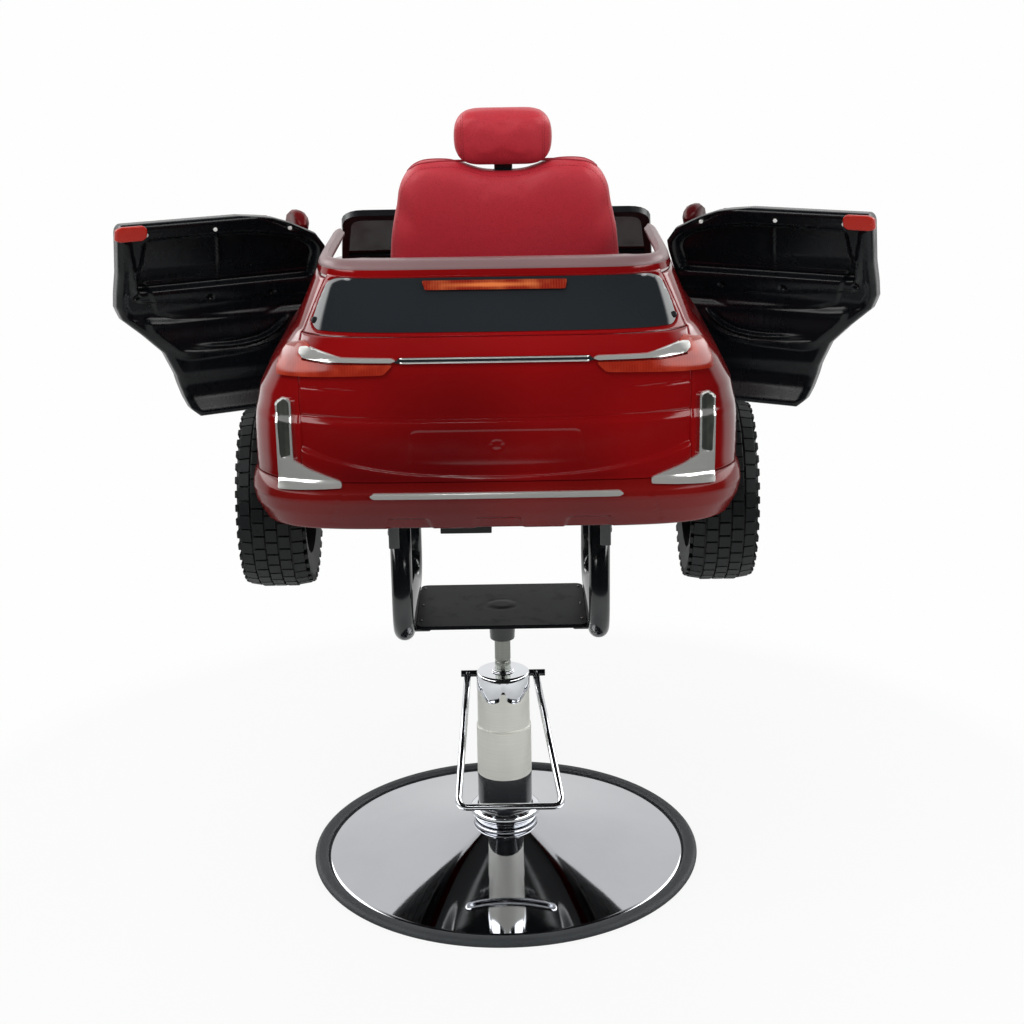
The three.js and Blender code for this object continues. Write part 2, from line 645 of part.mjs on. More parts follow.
function doorMirror(side) {
  const x = side * (sideX(1000) + 4);
  const foot = rod([side * (sideX(985) + runningGap + 0.5), 196, 975], [x + side * 26, 196, 1012], 8, 10);
  const shell = new THREE.SphereGeometry(1, 10, 7).scale(34, 17, 21).translate(x + side * 40, 198, 1026);
  const face = box(Math.min(x - side * 10, x + side * 90), Math.max(x - side * 10, x + side * 90), 150, 189,
    990, 1060);
  return solid(shell).add(foot).subtract(face).subtract(sideSlab(side, -runningGap, 60));
}

function hingePin(side) {
  const axis = [side * doorHinge.x, doorHinge.y];
  const near = side * (doorHinge.x - 9);
  const far = side * (doorHinge.x + doorHinge.pin);
  const lug = (low, high) => box(Math.min(near, far), Math.max(near, far),
    doorHinge.y - doorHinge.pin + 0.4, nose.sideRear + skin, low, high);
  const { knuckleLow, knuckleHigh, lug: height } = doorHinge;
  return rod([...axis, knuckleLow - height + 2], [...axis, knuckleHigh + height - 2], doorHinge.pin, sides.pin)
    .add(lug(knuckleLow - height, knuckleLow - runningGap))
    .add(lug(knuckleHigh + runningGap, knuckleHigh + height)).subtract(frontBody(runningGap));
}

// ---- front of the car ------------------------------------------------------------------------------
function frontBody(grow = 0) {
  const rows = heights(frontLevels[0].z, nose.shoulder, [790, 850]);
  const columns = 7;
  const grid = (inset) => rows.map((z) => {
    const level = levelAt(frontLevels, z);
    const half = [];
    for (let c = 0; c <= 3; c += 1) {
      const y = blend(nose.sideRear, nose.bend, c / 4);
      half.push([level.half - inset + flare(y, z, wheel.frontY), y, z]);
    }
    for (let c = 0; c <= columns; c += 1) {
      half.push(skinPoint(level, c / columns, 1, wheel.frontY, inset));
    }
    half[half.length - 1][0] = 0;
    return [...half.map(([x, y, h]) => [-x, y, h]), ...half.slice(0, -1).reverse()];
  });
  let body = sheet(grid(-grow), grid(skin + grow));
  const shoulder = levelAt(frontLevels, nose.shoulder);
  const lengths = [nose.sideRear, nose.cowlFront, 420, 500, nose.tip - 50, nose.tip - 30];
  const bonnet = (drop) => lengths.map((y) => {
    const reach = Math.max(0, (y - shoulder.bend) / (shoulder.end - shoulder.bend));
    const half = shoulder.half * (1 - Math.min(reach, 0.995) ** shoulder.square) ** (1 / shoulder.square);
    const crown = blend(nose.cowlZ - nose.shoulder, 8, eased((y - nose.cowlFront) / (nose.tip - nose.cowlFront)));
    const points = [];
    for (const share of [-1, -0.87, -0.74, -0.37, 0, 0.37, 0.74, 0.87, 1]) {
      const rise = crown * (1 - eased((Math.abs(share) - 0.74) / 0.26));
      points.push([(half - 1) * share, y, nose.shoulder + rise - drop]);
    }
    return points;
  });
  body = body.add(sheet(bonnet(0), bonnet(skin)));
  return body.subtract(rod([-400, wheel.frontY, wheel.axleZ], [400, wheel.frontY, wheel.axleZ], arch.radius, sides.arch));
}

function frontFascia() {
  const rows = [806, 850, 890];
  const grid = (out) => rows.map((z) => {
    const level = levelAt(frontLevels, z);
    const points = [];
    for (let c = -6; c <= 6; c += 1) {
      const x = (232 - (z - 806) * 0.2) * (c / 6);
      const p = skinPoint(level, turnAt(level, Math.abs(x), -out), 1, 0, -out);
      points.push([x, p[1], z]);
    }
    return points;
  });
  let panel = sheet(grid(5), grid(-1)).subtract(frontBody(runningGap));
  for (let bar = 0; bar < 5; bar += 1) {
    const x = -100 + bar * 50;
    panel = panel.subtract(box(x - 17, x + 17, nose.tip - 20, nose.tip + 20, 820, 836));
    panel = panel.subtract(box(x - 17, x + 17, nose.tip - 20, nose.tip + 20, 850, 866));
  }
  return panel;
}

// The windshield lies in a tilted plane: u runs across, v runs up the slope from the cowl.
const screenSlope = Math.atan2(screen.topZ - nose.cowlZ, screen.baseY - screen.topY);
const screenLength = Math.hypot(screen.topZ - nose.cowlZ, screen.baseY - screen.topY);
function screenOutline(inset) {
  const baseHalf = 262 - inset;
  const topHalf = 236 - inset;
  const round = 34 - inset;
  const shape = new THREE.Shape();
  shape.moveTo(-baseHalf, inset);
  shape.lineTo(baseHalf, inset);
  shape.lineTo(topHalf + 4, screenLength - inset - round);
  shape.quadraticCurveTo(topHalf, screenLength - inset, topHalf - round, screenLength - inset);
  shape.lineTo(-topHalf + round, screenLength - inset);
  shape.quadraticCurveTo(-topHalf, screenLength - inset, -topHalf - 4, screenLength - inset - round);
  shape.closePath();
  return shape;
}
const onScreen = (lift) => (g) => g.translate(0, 0, lift).rotateX(screenSlope).scale(1, -1, 1)
  .translate(0, screen.baseY, nose.cowlZ);

function windshieldFrame() {
  const outline = extruded(screenOutline(0), screen.thickness, onScreen(-screen.thickness / 2));
  const hole = extruded(screenOutline(screen.frame), 60, onScreen(-30));
  const below = box(-400, 400, 0, 600, 800, nose.cowlZ + runningGap);
  return outline.subtract(hole).subtract(below);
}

function windshield() {
  return extruded(screenOutline(screen.frame + runningGap), screen.glass, onScreen(-screen.glass / 2))
    .subtract(box(-400, 400, 0, 600, 800, nose.cowlZ + runningGap));
}

// The steering wheel's frame: its axis leans back towards the driver.
const steeringTilt = (steering.tiltDegrees * Math.PI) / 180;
const steeringAxis = [0, -Math.cos(steeringTilt), Math.sin(steeringTilt)];
const alongColumn = (distance) => [steering.x, steering.hubY + steeringAxis[1] * distance,
  steering.hubZ + steeringAxis[2] * distance];
const onColumn = (geometry, distance) => {
  const turn = new THREE.Quaternion().setFromUnitVectors(
    new THREE.Vector3(0, 0, 1), new THREE.Vector3(...steeringAxis));
  return geometry.applyQuaternion(turn).translate(...alongColumn(distance));
};

const dashHalf = 200;
function dashboard() {
  const top = nose.cowlZ - skin - runningGap;
  const profile = [[238, top - 14], [246, top - 3], [262, top], [322, top], [322, top - 46], [290, top - 86],
    [262, top - 82], [244, top - 60]];
  let dash = extruded(profile, 2 * dashHalf, alongX(-dashHalf));
  const hood = extruded([[226, top - 20], [232, top - 6], [250, top], [250, top - 40], [232, top - 40]], 150,
    alongX(steering.x - 75));
  dash = dash.add(hood);
  return dash.add(rod(alongColumn(-steering.column), alongColumn(-runningGap), steering.shaft));
}

function steeringWheel() {
  const section = [];
  for (let k = 0; k < 6; k += 1) {
    const angle = (2 * Math.PI * k) / 6;
    section.push([steering.wheelRadius - steering.rim + steering.rim * Math.cos(angle), steering.rim * Math.sin(angle)]);
  }
  const torus = new THREE.LatheGeometry(closedProfile(section).map(([r, z]) => new THREE.Vector2(r, z)), 18)
    .rotateX(Math.PI / 2).translate(0, 0, 14);
  const hub = new THREE.CylinderGeometry(22, 24, 18, 16).rotateX(Math.PI / 2).translate(0, 0, 9);
  let steerer = solid(onColumn(torus, 0)).add(solid(onColumn(hub, 0)));
  for (const angle of [0, 120, 240]) {
    const spoke = new THREE.BoxGeometry(56, 14, 7).translate(46, 0, 12)
      .rotateZ(((angle + 90) * Math.PI) / 180);
    steerer = steerer.add(solid(onColumn(spoke, 0)));
  }
  const well = new THREE.CylinderGeometry(15 + runningGap, 15 + runningGap, 20, 16).rotateX(Math.PI / 2)
    .translate(0, 0, 21);
  return steerer.subtract(solid(onColumn(well, 0)));
}

function hornButton() {
  const button = new THREE.CylinderGeometry(14, 15, 8, 16).rotateX(Math.PI / 2).translate(0, 0, 18.5);
  return solid(onColumn(button, 0));
}

// ---- structure under the car -----------------------------------------------------------------------
function floorTub() {
  let body = box(-tub.halfWidth, tub.halfWidth, tub.rear, tub.front, tub.bottom, tub.top);
  const inner = tub.halfWidth - tub.wall;
  body = body.subtract(box(-inner, inner, tub.rear + tub.wall, tub.front - tub.wall,
    tub.bottom + tub.floor, tub.top + 10));
  // Flat decks run on under the nose and the tail until they meet the moulded panels that they carry.
  const underside = tub.top - deck.thickness;
  const rearDeck = box(-tub.halfWidth, tub.halfWidth, levelAt(rearLevels, bumper.top).end - 40, tub.rear + tub.wall,
    underside, tub.top).subtract(rearBumper(runningGap));
  const frontDeck = box(-tub.halfWidth, tub.halfWidth, tub.front - tub.wall, nose.tip + 10,
    underside, tub.top).subtract(frontBody(runningGap));
  body = body.add(mainBody(rearDeck)).add(mainBody(frontDeck));
  for (const side of [-1, 1]) {
    const step = [[tub.halfWidth - 2, sill.bottom + 8], [tub.halfWidth + 16, sill.bottom],
      [sill.halfWidth - 10, sill.bottom], [sill.halfWidth, sill.bottom + 8], [sill.halfWidth, sill.top],
      [tub.halfWidth - 2, sill.top]];
    body = body.add(extruded(step.map(([x, z]) => [side * x, z]), sill.front - sill.rear,
      (g) => g.rotateX(Math.PI / 2).translate(0, sill.front, 0)));
    for (const [low, high, axleY] of [[wheel.rearY - 20, tub.rear + 1, wheel.rearY],
      [tub.front - 1, wheel.frontY + 20, wheel.frontY]]) {
      const inside = Math.min(side * 205, side * 229);
      const outside = Math.max(side * 205, side * 229);
      body = body.add(box(inside, outside, low, high, wheel.axleZ - 22, wheel.axleZ + 22));
      body = body.subtract(rod([inside - 5, axleY, wheel.axleZ], [outside + 5, axleY, wheel.axleZ],
        axleRadius + runningGap, sides.pin));
    }
  }
  return body;
}

function sideFrameSolid(side) {
  const x = side * (plate.halfWidth + runningGap + sideFrame.tube / 2);
  const path = [[x, -sideFrame.legY, sideFrame.top], [x, -sideFrame.legY, sideFrame.barZ],
    [x, sideFrame.legY, sideFrame.barZ], [x, sideFrame.legY, sideFrame.top]];
  let frame = tubeAlong(path, sideFrame.bend, sideFrame.tube / 2, sideFrame.tube / 2, 12);
  const flangeTop = plate.top - plate.thickness - runningGap;
  const reach = [side * (plate.halfWidth - sideFrame.flange), x];
  frame = frame.add(box(Math.min(...reach), Math.max(...reach), -plate.halfDepth + 6, plate.halfDepth - 6,
    flangeTop - sideFrame.flangeThickness, flangeTop));
  for (const end of [-1, 1]) {
    const y = end * sideFrame.legY;
    const outer = side * (plate.halfWidth + sideFrame.tube + bracket.width);
    frame = frame.add(box(Math.min(x, outer), Math.max(x, outer), y - 26, y + 26, bracket.bottom, sideFrame.top));
    const lip = side * (plate.halfWidth - 24);
    frame = frame.add(box(Math.min(lip, outer), Math.max(lip, outer), y - bracket.depth / 2,
      y + bracket.depth / 2, sideFrame.top - 6, sideFrame.top));
  }
  return frame;
}

function mountPlate() {
  const outline = roundedRectangle(plate.halfWidth, plate.halfDepth, plate.corner, 4);
  const flat = extruded(outline, plate.thickness, (g) => g.translate(0, 0, plate.top - plate.thickness));
  const emboss = new THREE.SphereGeometry(1, 14, 6).scale(23, 20, 4).translate(0, 0, plate.top - 0.5);
  return flat.add(solid(emboss));
}

// Rectangular seat stand with open sides, welded to two uprights that carry the back.
function seatFrame() {
  const low = tub.bottom + tub.floor + runningGap;
  const high = seatPad.bottom + seatPad.flat - runningGap;
  const half = 120;
  const rear = seatPad.rear + 24;
  const front = seatPad.front - 40;
  let frame = box(seatX - half, seatX + half, rear, front, high - 8, high);
  frame = frame.add(box(seatX - half, seatX + half, rear, front, low, low + 6));
  for (const side of [-1, 1]) {
    for (const y of [rear, front - 24]) {
      const x = seatX + side * (half - 12);
      frame = frame.add(box(x - 12, x + 12, y, y + 24, low, high));
    }
    const x = seatX + side * 70;
    const near = -backPad.thickness / 2 - runningGap;
    const bar = [[rear + 6, high - 8], [rear + 6, high], backPlane(near, seatPad.bottom + 6),
      backPlane(near, headBar.low), backPlane(near - 6, headBar.low), backPlane(near - 6, seatPad.bottom - 6)];
    frame = frame.add(extruded(bar, 26, alongX(x - 13)));
  }
  return frame;
}

// ---- seat ------------------------------------------------------------------------------------------
const lean = (backPad.leanDegrees * Math.PI) / 180;
// A point in the leaning plane of the back: w is ahead of the plane, height is along the slope.
function backPlane(w, height) {
  const up = height - backPad.bottom;
  return [backPad.y - up * Math.sin(lean) + w * Math.cos(lean), backPad.bottom + up * Math.cos(lean) + w * Math.sin(lean)];
}
const onBack = (u, v, w) => {
  const [y, z] = backPlane(w, v);
  return [seatX + u, y, z];
};

function backOutline() {
  const dip = 16;
  const half = [[0, backPad.top - dip], [34, backPad.top - dip], [56, backPad.top - dip + 2],
    [72, backPad.top - 7], [84, backPad.top - 2], [96, backPad.top]];
  const corner = { u: 112, v: backPad.top - 62, width: 50, height: 62 };
  for (let k = 0; k <= 4; k += 1) {
    const angle = (Math.PI / 2) * (1 - k / 4);
    half.push([corner.u + corner.width * Math.cos(angle), corner.v + corner.height * Math.sin(angle)]);
  }
  half.push([166, 1060], [169, 1000], [168, 930]);
  for (let k = 0; k <= 4; k += 1) {
    const angle = (-Math.PI / 2) * (k / 4);
    half.push([140 + 26 * Math.cos(angle), backPad.bottom + 26 + 26 * Math.sin(angle)]);
  }
  half.push([70, backPad.bottom - 2]);
  const mirrored = half.slice(1).reverse().map(([u, v]) => [-u, v]);
  return [...half, ...mirrored];
}

const backCushion = () => pad(backOutline(), backPad.thickness, padRings, onBack, [0, 1010]);

function seatCushion() {
  const halfDepth = (seatPad.front - seatPad.rear) / 2;
  const middleY = (seatPad.front + seatPad.rear) / 2;
  const middleZ = seatPad.bottom + seatPad.thickness / 2;
  const outline = roundedRectangle(seatPad.halfWidth, halfDepth, 38, 4);
  const flatUnder = (w) => Math.max(w, -seatPad.thickness / 2 + seatPad.flat);
  const place = (u, v, w) => [seatX + u, middleY + v, middleZ + flatUnder(w)];
  return pad(outline, seatPad.thickness, padRings, place, [0, 0]);
}

const headMiddle = headPad.bottom + headPad.height / 2;
function headCushion() {
  const outline = roundedRectangle(headPad.halfWidth, headPad.height / 2, 24, 4);
  const rings = [[0, 0, 0.02], [0, 0.16, 0.01], [0.02, 0.3, 0], [0.12, 0.41, 0], [0.17, 0.4, 0], [0.3, 0.46, 0],
    [0.6, 0.5, 0]];
  const body = pad(outline, headPad.thickness, rings, (u, v, w) => onBack(u, headMiddle + v + 2, w), [0, 0]);
  return body.subtract(headSlot(runningGap, 0));
}

// The flat bar of the headrest slides in a slot in the back.
function headSlot(gap, extra) {
  const outline = [[-headBar.thickness / 2 - gap, headBar.low - extra],
    [headBar.thickness / 2 + gap, headBar.low - extra],
    [headBar.thickness / 2 + gap, headMiddle + gap], [-headBar.thickness / 2 - gap, headMiddle + gap]];
  const flat = outline.map(([w, height]) => backPlane(w, height));
  return extruded(flat, headBar.width + 2 * gap, alongX(seatX - headBar.width / 2 - gap));
}

// ---- pump and base ---------------------------------------------------------------------------------
function baseDome() {
  const outer = base.radius - base.ringWidth;
  const lift = base.ringHeight - 5;
  const hole = pump.radius - 1;
  const height = (r) => {
    const t = (outer - r) / (outer - collar.radius);
    return lift + (base.domeRise - lift) * (0.72 * t + 0.28 * t * t);
  };
  const top = [];
  for (let k = 0; k <= 4; k += 1) top.push(blend(outer, collar.radius, k / 4));
  const upper = [...top.map((r) => [r, height(r)]), [hole + runningGap + 1, base.domeRise]];
  const lower = upper.slice().reverse().map(([r, z]) => [r, z - base.domeWall]);
  return turned(closedProfile([...upper, ...lower]), sides.base);
}

function baseRim() {
  const inner = base.radius - base.ringWidth;
  const lip = base.ringHeight - 5 - base.domeWall;
  const profile = [[inner - 8, 0], [base.radius - 3, 0], [base.radius, 4], [base.radius - 1, base.ringHeight - 4],
    [base.radius - 5, base.ringHeight], [inner + 4, base.ringHeight], [inner + runningGap, base.ringHeight - 3],
    [inner + runningGap, lip - runningGap], [inner - 8, lip - runningGap - 1]];
  return turned(closedProfile(profile), sides.base);
}

function baseCollar() {
  const low = base.domeRise + runningGap;
  const high = low + collar.height;
  const inner = pump.radius + 1.2;
  const profile = [[inner, low], [collar.radius + 2, low], [collar.radius, low + 6], [collar.radius - 2, low + 20],
    [collar.radius + 1, low + 24], [collar.radius, high - 4], [collar.radius - 5, high], [inner, high]];
  return turned(closedProfile(profile), sides.pump);
}

function pumpBarrel() {
  const barrel = pump.radius - pump.wall - runningGap;
  const foot = base.domeRise - base.domeWall - runningGap;
  const profile = [[0, 14], [34, 14], [collar.radius - 2, foot - 5], [collar.radius - 2, foot], [pump.radius - 1, foot],
    [pump.radius - 1, base.domeRise + runningGap], [pump.radius + 0.8, base.domeRise + runningGap], [pump.radius + 0.8, pump.coverBottom - runningGap],
    [barrel, pump.coverBottom], [barrel, cap.bottom - runningGap], [barrel - 6, cap.bottom - runningGap],
    [barrel - 6, cap.bottom + 14], [26, cap.bottom + 14], [22, pump.barrelTop],
    [ram.radius + runningGap, pump.barrelTop], [ram.radius + runningGap, pump.barrelTop - 26],
    [pump.boreRadius, pump.barrelTop - 30], [pump.boreRadius, 30], [0, 30]];
  let body = turned(profile, sides.pump);
  const ears = [[-26, -19], [19, 26]];
  for (const [from, to] of ears) {
    const ear = box(from, to, pedal.shaftY - 10, pedal.shaftY + 6, pump.barrelTop - 20,
      pedal.shaftZ + pedal.shaftRadius + 4);
    body = body.add(ear);
  }
  return body.subtract(rod([-40, pedal.shaftY, pedal.shaftZ], [40, pedal.shaftY, pedal.shaftZ],
    pedal.shaftRadius + runningGap));
}

function pumpCover() {
  const r = pump.radius;
  const inner = r - pump.wall;
  const profile = [[inner, pump.coverBottom], [r + 0.8, pump.coverBottom], [r + 0.8, pump.bandTop - 1],
    [r - 0.4, pump.bandTop - 0.2], [r - 0.4, pump.bandTop + 0.8], [r, pump.bandTop + 1.6],
    [r, cap.bottom - runningGap], [inner, cap.bottom - runningGap]];
  return turned(closedProfile(profile), sides.pump);
}

function pumpCap() {
  const r = pump.radius - 0.6;
  const inner = r - 2.4;
  const hole = ram.radius + runningGap;
  const profile = [[inner, cap.bottom], [r, cap.bottom], [r, cap.top - 5], [r - 1.5, cap.top - 1.5],
    [r - 5, cap.top], [gland.radius, cap.top], [gland.radius - 1, cap.top + gland.height],
    [hole, cap.top + gland.height], [hole, cap.top - 3], [inner, cap.top - 3]];
  let body = turned(closedProfile(profile), sides.pump);
  body = body.subtract(rod([-60, pedal.shaftY, pedal.shaftZ], [60, pedal.shaftY, pedal.shaftZ],
    pedal.shaftRadius + runningGap));
  return body.subtract(box(-4, 4, -60, -30, cap.bottom - 1, cap.bottom + cap.scallopDrop));
}

function pedalShaft() {
  const shaft = rod([-pedal.shaftHalf, pedal.shaftY, pedal.shaftZ], [pedal.shaftHalf, pedal.shaftY, pedal.shaftZ],
    pedal.shaftRadius);
  const cam = extruded([[pedal.shaftY - 8, pedal.shaftZ - 6], [pedal.shaftY - 9, pedal.shaftZ + 2],
    [pedal.shaftY - 3, pedal.shaftZ + 8], [pedal.shaftY + 5, pedal.shaftZ + 7],
    [pedal.shaftY + 7, pedal.shaftZ - 3]].map(([y, z]) => [y, z]), 8, alongX(-18.5));
  return shaft.add(cam).subtract(loopPath());
}

// The bent loop hangs from both ends of the shaft and reaches forward to the operator's foot.
function loopPath(grow = runningGap) {
  const top = pedal.shaftZ;
  const y = pedal.shaftY;
  const end = { y: y - loop.reach - 24, z: top - loop.drop };
  return tubeAlong([[loop.topLeft, y, top + 1], [loop.bottomLeft, end.y, end.z], [loop.bottomRight, end.y, end.z],
    [loop.topRight, y, top + 1]], pedal.cornerRadius, pedal.rod + grow, pedal.rod + grow, 10);
}

function ramPiston() {
  const r = pump.boreRadius - runningGap;
  const hole = ram.radius - 2 + 2 * runningGap;
  return turned(closedProfile([[hole, ram.bottom - 2], [r - 2, ram.bottom - 2], [r, ram.bottom],
    [r, ram.bottom + 8], [r - 2, ram.bottom + 10], [r - 2, ram.bottom + 13], [r, ram.bottom + 15],
    [r, ram.bottom + ram.pistonHeight], [hole, ram.bottom + ram.pistonHeight]]), sides.pump);
}

const ramRod = () => turned([[0, ram.bottom - 6], [ram.radius - 2, ram.bottom - 6],
  [ram.radius - 2, ram.bottom + ram.pistonHeight + runningGap],
  [ram.radius, ram.bottom + ram.pistonHeight + runningGap], [ram.radius, ram.top - 3], [ram.radius - 3, ram.top],
  [0, ram.top]], sides.ram);

function swivelBoss() {
  const top = plate.top - plate.thickness - runningGap;
  const hole = ram.radius + runningGap;
  return turned([[hole, boss.bottom], [boss.radius, boss.bottom], [boss.radius + 1, boss.bottom + 20],
    [boss.radius + 2, top - boss.collarHeight], [boss.topRadius, top - boss.collarHeight + 6],
    [boss.topRadius, top], [0, top], [0, ram.top + runningGap], [hole, ram.top + runningGap], [hole, boss.bottom]], sides.ram);
}

// ---- wheels ----------------------------------------------------------------------------------------
function roadWheel(side) {
  const half = wheel.width / 2;
  const r = wheel.radius;
  const bore = axleRadius + runningGap;
  const { rimRadius, hubRadius, shoulder } = wheel;
  const outside = half - 10;
  const disc = outside - wheel.discWall;
  // Tyre, rim barrel, wheel disc and hub in one blow-moulded piece, open towards the car.
  const profile = [[bore, outside - wheel.hubLength], [hubRadius, outside - wheel.hubLength], [hubRadius, disc],
    [rimRadius - 6, disc], [rimRadius, 4 - half], [r - shoulder, -half], [r - 1, shoulder - half],
    [r, 2 * shoulder - half], [r, half - 2 * shoulder], [r - 1, half - shoulder], [r - shoulder, half],
    [rimRadius + 6, half - 2], [rimRadius - 2, outside],
    [hubRadius, outside + 6], [bore, outside + 6]];
  const points = closedProfile(profile).map(([radius, w]) => new THREE.Vector2(radius, w));
  let body = solid(new THREE.LatheGeometry(points, sides.wheel));
  for (let k = 0; k < wheel.spokes; k += 1) {
    const turn = (2 * Math.PI * (k + 0.5)) / wheel.spokes;
    const spread = Math.PI / wheel.spokes;
    const corner = (radius, share) => [radius * Math.cos(turn + spread * share), radius * Math.sin(turn + spread * share)];
    const window = [corner(hubRadius + 12, -0.35), corner(rimRadius - 12, -0.62),
      corner(rimRadius - 12, 0.62), corner(hubRadius + 12, 0.35)];
    body = body.subtract(extruded(window, 3 * wheel.discWall,
      (g) => g.rotateX(-Math.PI / 2).translate(0, disc - wheel.discWall, 0)));
  }
  const geometry = geometryOf(body).rotateZ(side > 0 ? -Math.PI / 2 : Math.PI / 2);
  return solid(geometry);
}

// ---- assembly --------------------------------------------------------------------------------------
const chair = new THREE.Group();
const car = new THREE.Group();
car.position.y = -carMid;
chair.add(car);

function piece(parent, name, manifold, material) {
  const mesh = new THREE.Mesh(geometryOf(manifold), material);
  mesh.name = name;
  parent.add(mesh);
  return mesh;
}

piece(chair, 'base_dome', baseDome(), chrome);
piece(chair, 'base_edge', baseRim(), rubber);
piece(chair, 'base_collar', baseCollar(), chrome);
piece(chair, 'pump_barrel', pumpBarrel(), blackPaint);
piece(chair, 'pump_cover', pumpCover(), satinSteel);
piece(chair, 'pump_cap', pumpCap(), chrome);
piece(chair, 'pedal_shaft', pedalShaft(), blackPaint);
piece(chair, 'pedal_loop', loopPath(0), chrome);
piece(chair, 'ram_rod', ramRod(), satinSteel);
piece(chair, 'ram_piston', ramPiston(), blackPlastic);
piece(chair, 'swivel_boss', swivelBoss(), blackPaint);
piece(chair, 'mount_plate', mountPlate(), blackPaint);
piece(chair, 'side_frame_left', sideFrameSolid(-1), blackPaint);
piece(chair, 'side_frame_right', sideFrameSolid(1), blackPaint);

piece(car, 'floor_tub', floorTub(), blackPlastic);
piece(car, 'battery_box', box(batteryBox.left, batteryBox.right, batteryBox.rear, batteryBox.front,
  tub.bottom - runningGap - batteryBox.height, tub.bottom - runningGap), blackPlastic);
piece(car, 'seat_frame', seatFrame(), blackPaint);
piece(car, 'seat_cushion', seatCushion(), redLeather);
piece(car, 'back_cushion', backCushion().subtract(headSlot(runningGap, 95)), redLeather);
piece(car, 'headrest_bar', headSlot(0, 0), blackPaint);
piece(car, 'headrest_cushion', headCushion(), redLeather);

const tailgatePanel = rearPanel(bumper.top + panelGap, tailgate.top, () => tailgate.halfWidth, 12);
piece(car, 'tailgate', tailgatePanel, redPaint);
piece(car, 'quarter_panel_left', quarterPanel(-1), redPaint);
piece(car, 'quarter_panel_right', quarterPanel(1), redPaint);
piece(car, 'rear_bumper', rearBumper(), redPaint);
piece(car, 'roof_frame', roofFrame(), roofGrey);
piece(car, 'rear_window', rearPanel(tailgate.top + panelGap, glassTop, windowHalf, 12), darkGlass);

// The tail's skin, grown by the running gap: what lies on the tail is cut by it.
const grown = runningGap;
const tailSkin = rearPanel(bumper.top + panelGap, tailgate.top, () => tailgate.halfWidth, 12, grown)
  .add(quarterPanel(-1, grown)).add(quarterPanel(1, grown)).add(rearBumper(grown))
  .add(rearPanel(tailgate.top + panelGap, glassTop, windowHalf, 12, grown));

// A thin piece laid on the skin of the tail, drawn as an outline in X and Z.
function onTail(outline, low, high, half, proud, columns = 12) {
  const rows = heights(low, high, rearLevels.map((level) => level.z));
  const grid = (out) => rows.map((z) => {
    const level = levelAt(rearLevels, z);
    const points = [];
    for (let c = -columns; c <= columns; c += 1) {
      const x = (half * c) / columns;
      const p = skinPoint(level, turnAt(level, Math.abs(x), -out), 1, 0, -out);
      points.push([x, p[1], z]);
    }
    return points;
  });
  const block = extruded(outline, 300, (g) => g.rotateX(Math.PI / 2).translate(0, -300, 0));
  return mainBody(sheet(grid(proud), grid(-1)).intersect(block).subtract(tailSkin));
}

const brakeLamp = [[-90, 1039], [92, 1039], [90, 1028], [-86, 1028]];
piece(car, 'high_brake_light', onTail(brakeLamp, 1024, 1044, 100, 5, 3), redLens);
const garnish = [[-212, 958], [-248, 966], [-262, 969], [-214, 979], [-196, 967], [196, 967], [214, 979],
  [262, 969], [248, 966], [212, 958]];
piece(car, 'tail_garnish', onTail(garnish, 950, 982, 268, 6, 6), chrome);
for (const [name, side] of [['left', -1], ['right', 1]]) {
  const lamp = [[140, 945], [130, 957], [212, 957.4], [268, 960], [277, 958], [277, 943]];
  piece(car, `tail_lamp_${name}`, onTail(lamp.map(([x, z]) => [side * x, z]), 936, 964, 282, 5), redLens);
  piece(car, `corner_lamp_${name}`, cornerLamp(side), chrome);
}
const strip = [[-159, 796], [-153, 800], [153, 800], [159, 796], [153, 793], [-153, 793]];
piece(car, 'bumper_strip', onTail(strip, 791, 802, 166, 5, 5), chrome);

piece(car, 'front_body', frontBody(), redPaint);
piece(car, 'front_fascia', frontFascia(), blackPlastic);
piece(car, 'windshield_frame', windshieldFrame(), redPaint);
piece(car, 'windshield', windshield(), darkGlass);
piece(car, 'dashboard', dashboard(), blackPlastic);
piece(car, 'steering_wheel', steeringWheel(), blackPlastic);
piece(car, 'horn_button', hornButton(), redPlastic);

for (const [name, side] of [['left', -1], ['right', 1]]) {
  // The door's pieces are drawn closed and then swung open about the hinge pin.
  const swing = new THREE.Group();
  swing.position.set(side * doorHinge.x, doorHinge.y, 0);
  swing.rotation.z = (side * doorHinge.openDegrees * Math.PI) / 180;
  const leaf = new THREE.Group();
  leaf.position.set(-side * doorHinge.x, -doorHinge.y, 0);
  swing.add(leaf);
  car.add(swing);
  piece(leaf, `door_shell_${name}`, doorShell(side), redPaint);
  piece(leaf, `door_trim_${name}`, doorTrim(side), blackPlastic);
  piece(leaf, `door_latch_${name}`, doorLatch(side), redPlastic);
  piece(leaf, `door_mirror_${name}`, doorMirror(side), redPaint);
  piece(car, `hinge_pin_${name}`, hingePin(side), satinSteel);
}

for (const [end, y] of [['rear', wheel.rearY], ['front', wheel.frontY]]) {
  const reach = wheel.inner + wheel.width - 12;
  piece(car, `${end}_axle`, rod([-reach, y, wheel.axleZ], [reach, y, wheel.axleZ], axleRadius), satinSteel);
  for (const [name, side] of [['left', -1], ['right', 1]]) {
    const mesh = piece(car, `wheel_${end}_${name}`, roadWheel(side), rubber);
    mesh.position.set(side * (wheel.inner + wheel.width / 2), y, wheel.axleZ);
  }
}

export default chair;
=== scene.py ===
"""Visual model of a child's hydraulic barber chair built into an open toy car.

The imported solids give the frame, the sizes and the joints. This script lays smooth, finished pieces over
them: the pump and its round base, the black carrier, the padded seat, the car's shell, doors and wheels.
Lengths in the classes are in millimetres, and meshes are made in metres.
"""

